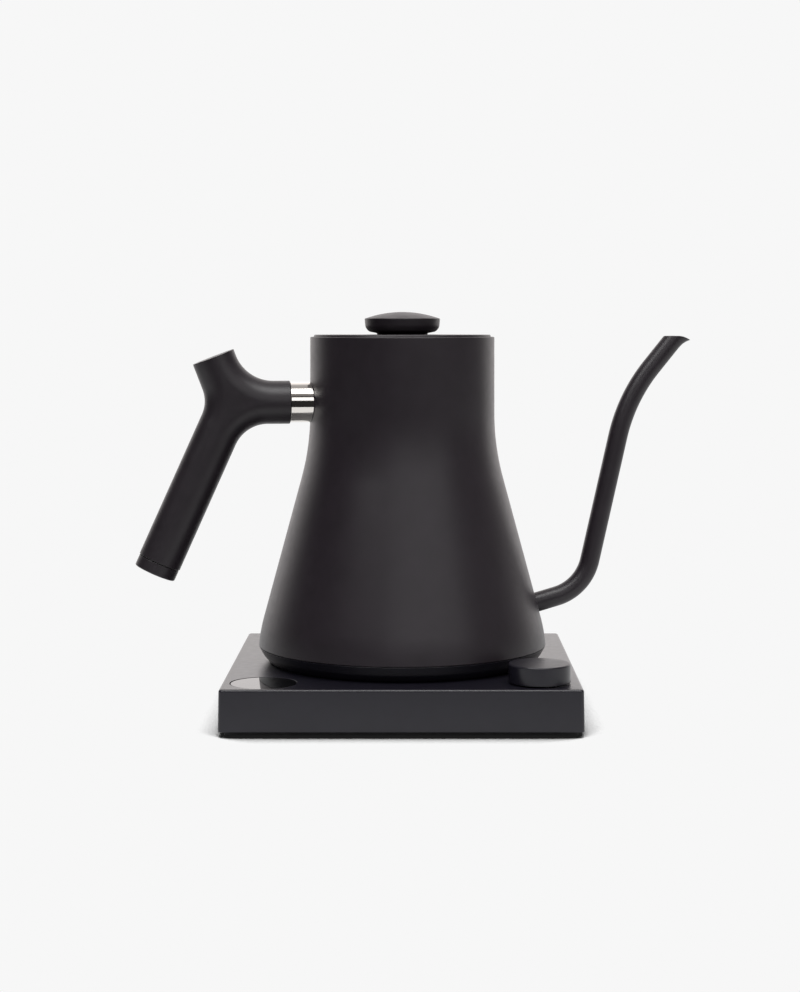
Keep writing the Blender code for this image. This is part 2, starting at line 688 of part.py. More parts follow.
def kettle_shell(kettle_axis):
    """Steel wall from the seam to the rim, with its rolled-in top and a spout hole."""
    wall = WALL
    outline = [
        (OPENING_RADIUS, COLLAR_LOW_Z),
        (OPENING_RADIUS, RIM_Z, 1.6 * MM),
        (NECK_RADIUS, RIM_Z, 1.2 * MM),
        (NECK_RADIUS, NECK_CORNER_Z, NECK_BLEND),
        (FOOT_BEND_RADIUS, FOOT_BEND_Z, FOOT_BLEND),
        (SEAM_RADIUS, SEAM_Z, 0.3 * MM),
        (SEAM_RADIUS - wall, SEAM_Z),
        (FOOT_BEND_RADIUS - wall, FOOT_BEND_Z, FOOT_BLEND),
        (NECK_RADIUS - wall, NECK_CORNER_Z, NECK_BLEND),
        (NECK_RADIUS - wall, RIM_Z - wall, 0.6 * MM),
        (OPENING_RADIUS + wall, RIM_Z - wall, 0.6 * MM),
        (OPENING_RADIUS + wall, COLLAR_LOW_Z),
    ]
    shell = turned("kettle_shell", outline, PAINT, kettle_axis, steps=LARGE_STEPS)
    angle = spout_root_angle()
    start = point_along(SPOUT_ROOT, angle, -8 * MM)
    hole = rod("spout_hole", start, angle, 20 * MM, SPOUT_RADIUS + GAP, PAINT, steps=SPOUT_SIDES)
    combine(shell, hole, "DIFFERENCE")


def spout_root_angle():
    rise = SPOUT_LOW_CORNER[1] - SPOUT_ROOT[1]
    return math.degrees(math.atan2(rise, SPOUT_LOW_CORNER[0] - SPOUT_ROOT[0]))


def shell_inner_radius(height):
    """Return the shell's inner radius on the straight part of its cone."""
    slope = (FOOT_BEND_RADIUS - NECK_RADIUS) / (NECK_CORNER_Z - FOOT_BEND_Z)
    return NECK_RADIUS + slope * (NECK_CORNER_Z - height) - WALL


def vessel_floor(kettle_axis):
    """Water-tight floor with three screw bosses below, and the heater under it."""
    high = FLOOR_LOW_Z + FLOOR_THICKNESS
    lip_high = high + 1.6 * MM
    radius = shell_inner_radius(FLOOR_LOW_Z) - 3 * GAP
    outline = [
        (PROBE_HOLE, FLOOR_LOW_Z),
        (radius, FLOOR_LOW_Z),
        (radius, lip_high),
        (radius - FLOOR_THICKNESS, lip_high),
        (radius - FLOOR_THICKNESS, high),
        (PROBE_HOLE, high),
    ]
    floor = turned("kettle_floor", outline, BRUSHED_STEEL, kettle_axis, steps=LARGE_STEPS)
    boss_radius = 3.5 * MM
    boss_high = FLOOR_LOW_Z + FLOOR_THICKNESS / 2
    for number, place in enumerate(cover_screw_places(), 1):
        boss = screw_boss(f"floor_boss_{number}", boss_radius, 31 * MM, boss_high, 40 * MM, place)
        combine(floor, boss, "UNION")
    plate_low = 39.8 * MM
    plate_high = FLOOR_LOW_Z - GAP
    sleeve("heat_plate", 9 * MM, 53 * MM, plate_low, plate_high, ALUMINIUM, kettle_axis, LARGE_STEPS)
    heating_element(kettle_axis, plate_low)


def heating_element(kettle_axis, plate_low):
    """Sheathed tube bent into an open loop against the heat plate."""
    loop_radius = 45 * MM
    tube_radius = 3.2 * MM
    height = plate_low - GAP - tube_radius
    opening = 24
    stations = []
    count = 20
    sides = 8
    for index in range(count + 1):
        turn = math.radians(opening + (360 - 2 * opening) * index / count)
        outward = Vector((math.cos(turn), math.sin(turn), 0))
        middle = outward * loop_radius + Vector((0, 0, height))
        ring = []
        for side in range(sides):
            roll = 2 * math.pi * side / sides
            rise = Vector((0, 0, tube_radius * math.sin(roll)))
            ring.append(middle + outward * tube_radius * math.cos(roll) + rise)
        stations.append(ring)
    swept("heating_element", stations, BRUSHED_STEEL, kettle_axis)


def cover_screw_places():
    places = []
    for turn in (90, 210, 330):
        angle = math.radians(turn)
        places.append((COVER_SCREW_CIRCLE * math.cos(angle), COVER_SCREW_CIRCLE * math.sin(angle)))
    return places


def under_cover(kettle_axis):
    """Plastic bottom that carries the kettle on the base, with its three screws."""
    spigot = SEAM_RADIUS - WALL - 0.9 * MM
    spigot_inner = spigot - 1.6 * MM
    spigot_high = SEAM_Z + 3.0 * MM
    hole = SOCKET_RADIUS + 0.6 * MM
    face_high = COVER_INNER_Z + 2.2 * MM
    outline = [
        (hole, COVER_INNER_Z),
        (55.0 * MM, COVER_INNER_Z),
        (57.0 * MM, COVER_LOW_Z),
        (68.6 * MM, COVER_LOW_Z, 1.2 * MM),
        (71.8 * MM, 27.1 * MM, 5.0 * MM),
        (SEAM_RADIUS - 0.1 * MM, SEAM_Z - GAP),
        (spigot, SEAM_Z - GAP),
        (spigot, spigot_high),
        (spigot_inner, spigot_high),
        (spigot_inner, 29.6 * MM),
        (66.0 * MM, face_high),
        (hole, face_high),
    ]
    cover = turned("under_cover", outline, BASE_BLACK, kettle_axis, steps=LARGE_STEPS)
    head_z = COVER_SCREW_SEAT_Z - GAP
    for number, place in enumerate(cover_screw_places(), 1):
        hole = screw_hole(f"cover_hole_{number}", 20 * MM, COVER_SCREW_SEAT_Z, 32 * MM, place)
        combine(cover, hole, "DIFFERENCE")
        screw(f"under_cover_screw_{number}", head_z, 38 * MM, kettle_axis, place)


def sensors(kettle_axis):
    """Water-temperature probe in its seal, and the thermal cut-out under the heat plate."""
    collar, collar_low, collar_high = 5.0 * MM, 39.2 * MM, 40.8 * MM
    probe = [
        (0, collar_low),
        (collar, collar_low),
        (collar, collar_high),
        (PROBE_RADIUS, collar_high),
        (PROBE_RADIUS, PROBE_HIGH_Z, 2.4 * MM),
        (0, PROBE_HIGH_Z),
    ]
    turned("temperature_probe", probe, BRUSHED_STEEL, kettle_axis, steps=20)
    inner = PROBE_RADIUS + GAP
    neck = PROBE_HOLE - GAP
    flange = 7.0 * MM
    flange_low = FLOOR_LOW_Z - GAP
    bead_low = FLOOR_LOW_Z + FLOOR_THICKNESS + GAP
    bead_high = bead_low + 1.2 * MM
    seal = [
        (inner, flange_low - 1.5 * MM),
        (flange, flange_low - 1.5 * MM),
        (flange, flange_low),
        (neck, flange_low),
        (neck, bead_low),
        (flange, bead_low, 0.4 * MM),
        (flange - 1.0 * MM, bead_high, 0.4 * MM),
        (inner, bead_high),
    ]
    turned("probe_seal", seal, SILICONE, kettle_axis)
    place = (28 * MM, 12 * MM)
    disc("thermal_cutout", 6.5 * MM, 32 * MM, 39.5 * MM, DARK_PLASTIC, kettle_axis, place, 0.5 * MM)


# ---- spout ----

def tube_rings(path, radius, sides, mouth_stations=4):
    """Rings along the spout's centre line; the last few form the slanted, lipped mouth."""
    rings = []
    for index, middle in enumerate(path[:-1]):
        before = Vector(path[max(index - 1, 0)])
        ahead = (Vector(path[index + 1]) - before).normalized()
        rings.append([ring_point(Vector(middle), ahead, radius, side, sides) for side in range(sides)])
    tip = Vector(path[-1])
    ahead = (tip - Vector(path[-2])).normalized()
    for station in range(mouth_stations + 1):
        share = station / mouth_stations
        rings.append([mouth_point(tip, ahead, radius, side, sides, share) for side in range(sides)])
    return rings


def ring_point(middle, ahead, radius, side, sides, reach=0):
    """Return a point of the ring across a centre line that runs in the XZ plane."""
    roll = 2 * math.pi * side / sides
    front = Vector((ahead.y, -ahead.x))
    place = middle + front * (radius * math.cos(roll) + reach)
    return Vector((place.x, radius * math.sin(roll), place.y))


def mouth_point(tip, ahead, radius, side, sides, share):
    """Move from a square cut before the mouth (share 0) to the level, lipped edge (share 1)."""
    forward = max(0.0, math.cos(2 * math.pi * side / sides))
    reach = LIP_REACH * forward ** 2
    edge_z = MOUTH_Z - LIP_DROOP * forward ** 2
    across = radius * math.cos(2 * math.pi * side / sides) + reach
    edge_run = (edge_z - tip.y + ahead.x * across) / ahead.y
    run = -LIP_LENGTH + share * (edge_run + LIP_LENGTH)
    return ring_point(tip + ahead * run, ahead, radius, side, sides, reach * share ** 3)


def spout(kettle_axis):
    """Thin bent tube, open at both ends, that narrows to a pouring lip."""
    path = open_outline([SPOUT_ROOT, SPOUT_LOW_CORNER, SPOUT_HIGH_CORNER, SPOUT_TIP])
    outer = tube_rings(path, SPOUT_RADIUS, SPOUT_SIDES)
    inner = tube_rings(path, SPOUT_RADIUS - SPOUT_WALL, SPOUT_SIDES)
    swept("spout", outer + inner[::-1], PAINT, kettle_axis, closed=True)


# ---- handle ----

def handle_branches():
    """Return each branch's (angle, length) in turn, starting with the arm."""
    grip_length = GRIP_LENGTH - END_CAP_LENGTH - GAP
    return ((0.0, ARM_LENGTH), (HORN_ANGLE, HORN_LENGTH), (GRIP_ANGLE, grip_length))


def sector_path(first, second, fillet, leave_first, leave_second):
    """Return the line that one side of the handle's tube follows between two branches.

    It runs from the first branch's end to the second's, and cuts the corner on an arc
    that keeps the tube's radius outside the visible fillet.
    """
    corners = [
        point_along(HANDLE_JOIN, first[0], first[1]),
        point_along(HANDLE_JOIN, first[0], leave_first),
        (*HANDLE_JOIN, fillet + HANDLE_RADIUS),
        point_along(HANDLE_JOIN, second[0], leave_second),
        point_along(HANDLE_JOIN, second[0], second[1]),
    ]
    path = []
    for point in open_outline(corners):
        if not path or math.dist(point, path[-1]) > 0.01 * MM:
            path.append(point)
    return path


def arc_reach(first, second, fillet):
    """Return how far from the join an arc between two branches touches them."""
    half = math.radians((second[0] - first[0]) % 360) / 2
    return (fillet + HANDLE_RADIUS) / math.tan(half)


def handle_grip(kettle_axis):
    """Three-way handle: half tubes along each side, with flat cheeks where they part."""
    branches = handle_branches()
    fillets = (ARM_HORN_FILLET, HORN_GRIP_FILLET, GRIP_ARM_FILLET)
    reaches = [arc_reach(branches[i], branches[(i + 1) % 3], fillets[i]) for i in range(3)]
    leaves = [max(reaches[i], reaches[i - 1]) for i in range(3)]
    bm = bmesh.new()
    cheek = {1: [], -1: []}
    rounds = 8
    for index in range(3):
        following = (index + 1) % 3
        pair = (branches[index], branches[following])
        path = sector_path(*pair, fillets[index], leaves[index], leaves[following])
        rings = []
        for number, middle in enumerate(path):
            before = Vector(path[max(number - 1, 0)])
            after = Vector(path[min(number + 1, len(path) - 1)])
            ahead = (after - before).normalized()
            outward = sector_side(*pair, ahead)
            ring = []
            for part in range(rounds + 1):
                roll = math.pi * part / rounds
                place = Vector(middle) + outward * HANDLE_RADIUS * math.sin(roll)
                ring.append(bm.verts.new((place.x, HANDLE_RADIUS * math.cos(roll), place.y)))
            rings.append(ring)
        for first, second in zip(rings, rings[1:]):
            for part in range(rounds):
                bm.faces.new((first[part], first[part + 1], second[part + 1], second[part]))
        cheek[1] += [ring[0] for ring in rings[1:-2]]
        cheek[-1] += [ring[-1] for ring in rings[1:-2]]
    for corners in cheek.values():
        bm.faces.new(corners)
    bmesh.ops.remove_doubles(bm, verts=bm.verts, dist=0.01 * MM)
    bmesh.ops.holes_fill(bm, edges=bm.edges, sides=0)
    grip = add_object("handle_grip", bm, HANDLE_BLACK, kettle_axis)
    weight_bore = WEIGHT_RADIUS + GAP
    weight_start = point_along(HANDLE_JOIN, GRIP_ANGLE, GRIP_LENGTH + 5 * MM)
    cutter = rod("weight_bore", weight_start, GRIP_ANGLE - 180, 70 * MM, weight_bore, HANDLE_BLACK)
    combine(grip, cutter, "DIFFERENCE")
    stud_start = point_along(HANDLE_JOIN, 0, ARM_LENGTH + 5 * MM)
    cutter = rod("stud_bore", stud_start, 180, 28 * MM, STUD_RADIUS + GAP, HANDLE_BLACK)
    combine(grip, cutter, "DIFFERENCE")


def sector_side(first, second, ahead):
    """Return the direction square to a path that points into the corner between branches."""
    middle_angle = math.radians(first[0] + ((second[0] - first[0]) % 360) / 2)
    corner = Vector((math.cos(middle_angle), math.sin(middle_angle)))
    outward = Vector((-ahead.y, ahead.x))
    return outward if outward.dot(corner) > 0 else -outward


def handle_fittings(kettle_axis):
    """End cap and weight in the grip; collar, pad and stud between arm and kettle."""
    cap_start = point_along(HANDLE_JOIN, GRIP_ANGLE, GRIP_LENGTH - END_CAP_LENGTH)
    cap_outline = [
        (0, 0),
        (END_CAP_RADIUS, 0, 0.3 * MM),
        (END_CAP_RADIUS, END_CAP_LENGTH, 0.8 * MM),
        (0, END_CAP_LENGTH),
    ]
    cap = turned("handle_end_cap", cap_outline, HANDLE_BLACK, kettle_axis)
    cap.location = (cap_start[0], 0, cap_start[1])
    cap.rotation_euler = (0, math.radians(90 - GRIP_ANGLE), 0)
    weight_start = point_along(HANDLE_JOIN, GRIP_ANGLE, GRIP_LENGTH - END_CAP_LENGTH - 2 * GAP)
    rod("handle_weight", weight_start, GRIP_ANGLE - 180, 56 * MM, WEIGHT_RADIUS, BRUSHED_STEEL, kettle_axis)
    pad_inner = NECK_RADIUS + GAP
    pad_outer = pad_inner + PAD_THICKNESS
    arm_end_x = HANDLE_JOIN[0] + ARM_LENGTH
    collar = arm_ring("handle_collar", COLLAR_RADIUS, arm_end_x + GAP, BRIGHT_STEEL, kettle_axis)
    combine(collar, neck_guide("collar_trim", pad_outer + GAP), "DIFFERENCE")
    pad = arm_ring("handle_boss", PAD_RADIUS, -pad_outer - 1 * MM, PAINT, kettle_axis)
    combine(pad, neck_guide("pad_outer_face", pad_outer), "INTERSECT")
    combine(pad, neck_guide("pad_inner_face", pad_inner), "DIFFERENCE")
    stud_start = (-NECK_RADIUS - GAP, HANDLE_JOIN[1])
    rod("handle_stud", stud_start, 180, 30 * MM, STUD_RADIUS, BRUSHED_STEEL, kettle_axis)


def arm_ring(name, radius, start_x, look, parent):
    """Make a ring on the arm's axis that runs from start_x into the kettle's neck."""
    length = -NECK_RADIUS + 6 * MM - start_x
    bore = STUD_RADIUS + GAP
    outline = [(bore, 0), (radius, 0, 0.3 * MM), (radius, length), (bore, length)]
    made = turned(name, outline, look, parent, steps=COLLAR_STEPS)
    made.location = (start_x, 0, HANDLE_JOIN[1])
    made.rotation_euler = (0, math.radians(90), 0)
    return made


def neck_guide(name, radius):
    """Make an upright cylinder that follows the kettle's neck beside the arm."""
    reach = 3 * COLLAR_RADIUS
    middle = HANDLE_JOIN[1]
    return disc(name, radius, middle - reach, middle + reach, PAINT, steps=LARGE_STEPS)


# ---- lid ----

def lid(lid_axis):
    """Flat disc with a sealed cup below it and a mushroom knob screwed on top."""
    plate = [
        (LID_BORE, LID_LOW_Z),
        (LID_RADIUS, LID_LOW_Z, 0.2 * MM),
        (LID_RADIUS, LID_HIGH_Z, 0.5 * MM),
        (LID_BORE, LID_HIGH_Z),
    ]
    turned("lid_plate", plate, PAINT, lid_axis, steps=LARGE_STEPS)
    lid_cup_and_seal(lid_axis)
    knob_low = LID_HIGH_Z + GAP
    insert_high = knob_low + 7.0 * MM
    lid_knob(lid_axis, knob_low, insert_high)
    screw(
        "lid_knob_screw",
        LID_CUP_LOW_Z + CUP_SCREW_DEPTH - GAP,
        insert_high - 0.5 * MM,
        lid_axis,
        (0, 0),
        shank=2.0 * MM,
        head=4.4 * MM,
    )


def lid_cup_and_seal(lid_axis):
    """Hollow cup with a screw well in its floor, and the wiper seal round it."""
    high = LID_LOW_Z - GAP
    wall_inner = LID_CUP_RADIUS - 1.4 * MM
    floor_high = LID_CUP_LOW_Z + 2.0 * MM
    post = 6.5 * MM
    well = 5.0 * MM
    well_high = LID_CUP_LOW_Z + CUP_SCREW_DEPTH
    cup = [
        (LID_BORE, high),
        (post, high),
        (post, floor_high),
        (wall_inner, floor_high),
        (wall_inner, high),
        (LID_CUP_RADIUS, high),
        (LID_CUP_RADIUS, LID_CUP_LOW_Z, 2.0 * MM),
        (well, LID_CUP_LOW_Z),
        (well, well_high),
        (LID_BORE, well_high),
    ]
    turned("lid_cup", cup, DARK_PLASTIC, lid_axis, steps=LARGE_STEPS)
    inner = LID_CUP_RADIUS + GAP
    outer = OPENING_RADIUS - GAP
    seal = [
        (inner, SEAL_LOW_Z),
        (inner + 0.6 * MM, SEAL_LOW_Z),
        (outer, SEAL_LOW_Z + 1.4 * MM),
        (inner + 0.6 * MM, SEAL_HIGH_Z),
        (inner, SEAL_HIGH_Z),
    ]
    turned("lid_seal", seal, SILICONE, lid_axis, steps=LARGE_STEPS)


def lid_knob(lid_axis, low, insert_high):
    """Knob with a bowl-shaped underside, a shallow dome and a blind hole for its screw."""
    rise = KNOB_HIGH_Z - KNOB_EDGE_Z
    dome = rise / 2 + KNOB_RADIUS ** 2 / (2 * rise)
    outline = [
        (0, insert_high),
        (LID_BORE, insert_high),
        (LID_BORE, low),
        (KNOB_NECK, low),
        *KNOB_UNDER_CORNERS,
        (KNOB_RADIUS, KNOB_EDGE_Z - 0.2 * MM),
    ]
    crown = 5
    for index in range(crown):
        radius = (KNOB_RADIUS - 0.3 * MM) * (1 - index / crown)
        outline.append((radius, KNOB_HIGH_Z - dome + math.sqrt(dome ** 2 - radius ** 2)))
    outline.append((0, KNOB_HIGH_Z))
    turned("lid_knob", outline, HANDLE_BLACK, lid_axis, steps=LENS_STEPS)


def main():
    clear_scene()
    middle = add_empty("middle_axis", (0, 0, 0))
    dial_axis = add_empty("dial_axis", (CONTROL_X, CONTROL_Y, 0), middle)
    kettle_axis = add_empty("kettle_axis", (0, 0, 0), middle)
    kettle_axis.rotation_euler.z = KETTLE_TURN
    lid_axis = add_empty("lid_axis", (0, 0, 0), kettle_axis)
    base_housing(middle)
    base_plate(middle)
    feet_and_base_screws(middle)
    display(middle)
    circuit_boards(middle)
    dial(dial_axis)
    hold_switch(middle)
    cord_gland(middle)
    base_connector(middle)
    kettle_connector(kettle_axis)
    kettle_shell(kettle_axis)
    vessel_floor(kettle_axis)
    under_cover(kettle_axis)
    sensors(kettle_axis)
    spout(kettle_axis)
    handle_grip(kettle_axis)
    handle_fittings(kettle_axis)
    lid(lid_axis)
    centre_length(middle)


def centre_length(middle):
    """Slide everything along X until the whole length is centred on the origin."""
    bpy.context.view_layer.update()
    ends = []
    for name in ("handle_end_cap", "spout"):
        item = bpy.data.objects[name]
        ends += [(item.matrix_world @ vertex.co).x for vertex in item.data.vertices]
    middle.location.x = -(min(ends) + max(ends)) / 2


main()
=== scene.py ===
import json
import math

import bmesh
import bpy
from mathutils import Matrix, Vector


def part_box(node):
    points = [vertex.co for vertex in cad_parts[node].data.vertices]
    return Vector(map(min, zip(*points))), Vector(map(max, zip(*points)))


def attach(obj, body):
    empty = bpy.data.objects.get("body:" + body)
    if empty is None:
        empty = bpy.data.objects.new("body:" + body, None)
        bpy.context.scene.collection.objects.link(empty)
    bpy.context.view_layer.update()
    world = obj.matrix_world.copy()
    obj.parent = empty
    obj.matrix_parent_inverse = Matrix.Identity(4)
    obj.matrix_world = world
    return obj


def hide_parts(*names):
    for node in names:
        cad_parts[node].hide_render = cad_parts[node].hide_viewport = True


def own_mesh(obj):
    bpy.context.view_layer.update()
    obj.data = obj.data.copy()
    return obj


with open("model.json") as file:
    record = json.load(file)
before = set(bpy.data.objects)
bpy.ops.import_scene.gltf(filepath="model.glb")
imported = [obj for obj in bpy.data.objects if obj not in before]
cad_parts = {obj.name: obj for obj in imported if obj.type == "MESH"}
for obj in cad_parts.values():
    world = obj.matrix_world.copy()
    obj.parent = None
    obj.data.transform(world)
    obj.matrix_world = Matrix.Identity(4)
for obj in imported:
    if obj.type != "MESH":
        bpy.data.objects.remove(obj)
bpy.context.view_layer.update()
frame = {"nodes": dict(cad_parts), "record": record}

# ---- sizes, in metres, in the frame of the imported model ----

MM = 0.001
CHORD_ERROR = 0.01 * MM
WIDEST_STEP = math.radians(15)
SHARP_ANGLE = math.radians(38)
WELD = 0.002 * MM
SEAM_WELD = 0.005 * MM
LARGE_STEPS = 160
MEDIUM_STEPS = 96
SMALL_STEPS = 48


def node_centre(node):
    low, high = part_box(node)
    return (low + high) / 2


def node_radius(node):
    low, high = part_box(node)
    return (high.x - low.x) / 2


AXIS_X = node_centre("kettle_connector").x
AXIS = (AXIS_X, 0.0)
KETTLE_TURN = math.radians(8)
TO_AXIS = Matrix.Translation((AXIS_X, 0, 0))
TURNED = TO_AXIS @ Matrix.Rotation(KETTLE_TURN, 4, "Z") @ TO_AXIS.inverted()

BASE_LOW, BASE_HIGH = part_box("base_housing")
BASE_HALF = BASE_HIGH.y
BASE_LEAN = 0.3 * MM
BASE_CORNER = 2.2 * MM
BASE_EDGE = 1.3 * MM
BASE_FOOT_EDGE = 0.3 * MM
BASE_WALL = 2.2 * MM
BASE_ROOF = 2.4 * MM
ROOF_Z = BASE_HIGH.z - BASE_ROOF
LENS_CENTRE = node_centre("display_lens")
DIAL_CENTRE = node_centre("dial_cap")
DIAL_RADIUS = 15.1 * MM
TOWER_RADIUS = 14.5 * MM
TOWER_GAP = 0.6 * MM
SOCKET_RADIUS = 19.5 * MM
SWITCH_TRAVEL = 4.0 * MM
GLAND_NECK = 6.0 * MM

RIM_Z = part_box("kettle_shell")[1].z
SEAM_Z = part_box("kettle_shell")[0].z
NECK_RADIUS = 47.85 * MM
NECK_CORNER_Z = 134.28 * MM
NECK_BLEND = 128.0 * MM
FOOT_BEND_RADIUS = 73.63 * MM
FOOT_BEND_Z = 38.8 * MM
FOOT_BLEND = 80.0 * MM
SEAM_RADIUS = 74.3 * MM
OPENING_RADIUS = 39.0 * MM
SKIN = 0.55 * MM
WALL = 1.0 * MM
RIM_LOW_Z = 184.5 * MM
LINER_LOW_Z = 44.5 * MM
LINER_GAP = 0.04 * MM
FLOOR_TOP_Z = 44.0 * MM
FLOOR_SHEET = 1.0 * MM
UNDER_Z = 25.6 * MM
STANDING_RING_Z = 23.55 * MM
SCREW_SEAT = 3.5 * MM
SCREW_HOLE = 1.8 * MM
PROBE_HOLE = 5.2 * MM

LID_LOW_Z, LID_HIGH_Z = (corner.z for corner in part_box("lid_plate"))
LID_RADIUS = node_radius("lid_plate")
CUP_RADIUS = 37.0 * MM
KNOB_RADIUS = 19.6 * MM
KNOB_EDGE_Z = 200.2 * MM
KNOB_HIGH_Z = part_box("lid_knob")[1].z
KNOB_NECK = 13.0 * MM
KNOB_SCREW_HOLE = 2.3 * MM
KNOB_UNDER_CORNERS = (
    (13.3 * MM, 192.7 * MM, 0.5 * MM),
    (17.4 * MM, 193.5 * MM, 3.0 * MM),
    (19.25 * MM, 195.7 * MM, 4.0 * MM),
)

SPOUT_RADIUS = 5.07 * MM
SPOUT_BORE = 4.27 * MM
SPOUT_ROOT = (69.3 * MM, 51.0 * MM)
SPOUT_LOW_CORNER = (96.22 * MM, 58.42 * MM, 25.4 * MM)
SPOUT_HIGH_CORNER = (119.58 * MM, 158.59 * MM, 89.5 * MM)
SPOUT_TIP = (146.44 * MM, 191.15 * MM)
MOUTH_Z = 191.2 * MM
LIP_REACH = 2.2 * MM
LIP_DROOP = 2.1 * MM
LIP_LENGTH = 6.0 * MM

HANDLE_JOIN = (-88.87 * MM, 157.08 * MM)
HANDLE_RADIUS = 11.12 * MM
HANDLE_EDGE = 0.3 * MM
HANDLE_EDGE_PARTS = 5
HANDLE_PARTS = 24
ARM_LENGTH = 30.21 * MM
HORN_LENGTH = 25.2 * MM
HORN_ANGLE = 111.1
GRIP_LENGTH = 95.1 * MM
GRIP_ANGLE = 245.9
ARM_HORN_FILLET = 20.5 * MM
HORN_GRIP_FILLET = 16.8 * MM
GRIP_ARM_FILLET = 18.0 * MM
END_CAP_LENGTH = 5.9 * MM
END_CAP_RADIUS = 10.8 * MM
END_CAP_GAP = 0.35 * MM
COLLAR_RADIUS = 10.4 * MM
STUD_RADIUS = 2.8 * MM


# ---- materials ----

NOISE_SPAN = (0.3, 0.7)
SHADE_SCALE = 90
CLOUD_SCALE = 260
TOOL_LINE_SCALE = 60
LINES_ROUND_Z = (0.4, 0.4, 30)
LINES_ACROSS_X = (12, 0.6, 0.6)
FINE_LINES_ACROSS_X = (40, 0.6, 0.6)


def new_material(name, colour, roughness, metallic=0.0, **sockets):
    """Return a material with a Principled shader, and set that shader's sockets."""
    made = bpy.data.materials.new(name)
    made.use_nodes = True
    shader = made.node_tree.nodes["Principled BSDF"]
    shader.inputs["Base Color"].default_value = (*colour, 1)
    shader.inputs["Roughness"].default_value = roughness
    shader.inputs["Metallic"].default_value = metallic
    for socket, value in sockets.items():
        shader.inputs[socket.replace("_", " ")].default_value = value
    return made


def add_node(tree, kind, **sockets):
    """Add a shader node and give each named socket a value or a link."""
    made = tree.nodes.new(kind)
    for name, value in sockets.items():
        socket = made.inputs[name.replace("_", " ")]
        if isinstance(value, bpy.types.NodeSocket):
            tree.links.new(value, socket)
        else:
            socket.default_value = value
    return made


def link_to_shader(tree, output, socket):
    tree.links.new(output, tree.nodes["Principled BSDF"].inputs[socket])


def add_noise(material, scale, detail, stretch=(1, 1, 1)):
    """Add a noise texture in object space, finer along an axis with a larger stretch."""
    tree = material.node_tree
    place = tree.nodes.new("ShaderNodeTexCoord").outputs["Object"]
    stretched = add_node(tree, "ShaderNodeMapping", Vector=place, Scale=stretch).outputs["Vector"]
    noise = add_node(tree, "ShaderNodeTexNoise", Vector=stretched, Scale=scale, Detail=detail)
    return noise.outputs["Fac"]


def vary_colour(material, factor, dark, light):
    """Run the base colour between two colours by a factor."""
    tree = material.node_tree
    ramp = add_node(tree, "ShaderNodeValToRGB", Fac=factor)
    for element, position, colour in zip(ramp.color_ramp.elements, NOISE_SPAN, (dark, light)):
        element.position = position
        element.color = (*colour, 1)
    link_to_shader(tree, ramp.outputs["Color"], "Base Color")


def vary_roughness(material, factor, low, high):
    """Run the roughness between two values by a factor."""
    tree = material.node_tree
    ends = {"From_Min": NOISE_SPAN[0], "From_Max": NOISE_SPAN[1], "To_Min": low, "To_Max": high}
    spread = add_node(tree, "ShaderNodeMapRange", Value=factor, **ends)
    link_to_shader(tree, spread.outputs["Result"], "Roughness")


def add_bump(material, height, distance, strength):
    tree = material.node_tree
    bump = add_node(tree, "ShaderNodeBump", Height=height, Distance=distance, Strength=strength)
    link_to_shader(tree, bump.outputs["Normal"], "Normal")


def textured_coat(name, colour, roughness, grain, depth, spread=0.05, tint=0.2, **sockets):
    """Painted or moulded surface: fine grain, cloudy sheen and a slight change of shade."""
    made = new_material(name, colour, roughness, **sockets)
    darker = [channel * (1 - tint) for channel in colour]
    lighter = [channel * (1 + tint) for channel in colour]
    vary_colour(made, add_noise(made, SHADE_SCALE, detail=4), darker, lighter)
    clouds = add_noise(made, CLOUD_SCALE, detail=2)
    vary_roughness(made, clouds, roughness - spread, roughness + spread)
    add_bump(made, add_noise(made, grain, detail=2), depth, 0.5)
    return made


def worked_metal(name, colour, roughness, stretch, depth, spread=0.05):
    """Metal with fine tool lines that run across the axis with the large stretch."""
    made = new_material(name, colour, roughness, 1.0)
    lines = add_noise(made, TOOL_LINE_SCALE, detail=6, stretch=stretch)
    darker = [channel * 0.93 for channel in colour]
    vary_colour(made, lines, darker, colour)
    vary_roughness(made, lines, roughness - spread, roughness + spread)
    add_bump(made, lines, depth, 0.4)
    return made


def circuit_board_look():
    """Green board with paler copper tracks under the mask."""
    made = new_material("circuit_board", (0.01, 0.09, 0.04), 0.35)
    tree = made.node_tree
    place = tree.nodes.new("ShaderNodeTexCoord").outputs["Object"]
    board = {"Color1": (0.008, 0.075, 0.035, 1), "Color2": (0.012, 0.095, 0.045, 1)}
    mortar = {"Mortar": (0.03, 0.2, 0.09, 1), "Mortar_Size": 0.06}
    tracks = add_node(tree, "ShaderNodeTexBrick", Vector=place, Scale=160, **board, **mortar)
    link_to_shader(tree, tracks.outputs["Color"], "Base Color")
    add_bump(made, tracks.outputs["Fac"], 0.03 * MM, 0.5)
    return made


# A coat is given by its colour, roughness, scale of grain, depth of grain, spread of roughness and
# change of shade; a metal by its colour, roughness, stretch, depth of lines and spread of roughness.
COATS = {
    "body_paint": ((0.0135, 0.0095, 0.0135), 0.4, 2600, 0.0022 * MM, 0.02, 0.1),
    "handle_plastic": ((0.0135, 0.01, 0.0135), 0.42, 2200, 0.015 * MM, 0.03, 0.1),
    "base_plastic": ((0.009, 0.0082, 0.0135), 0.3, 3000, 0.004 * MM, 0.015, 0.08),
    "rubber": ((0.018, 0.018, 0.018), 0.75, 1800, 0.05 * MM),
    "silicone": ((0.1, 0.1, 0.105), 0.55, 1200, 0.02 * MM),
    "component_plastic": ((0.03, 0.09, 0.3), 0.35, 900, 0.02 * MM),
}
INNER_PLASTIC = ((0.01, 0.01, 0.0105), 0.55, 1500, 0.03 * MM)
DISPLAY_GLOSS = ((0.004, 0.004, 0.0045), 0.04, 400, 0.0, 0.01)
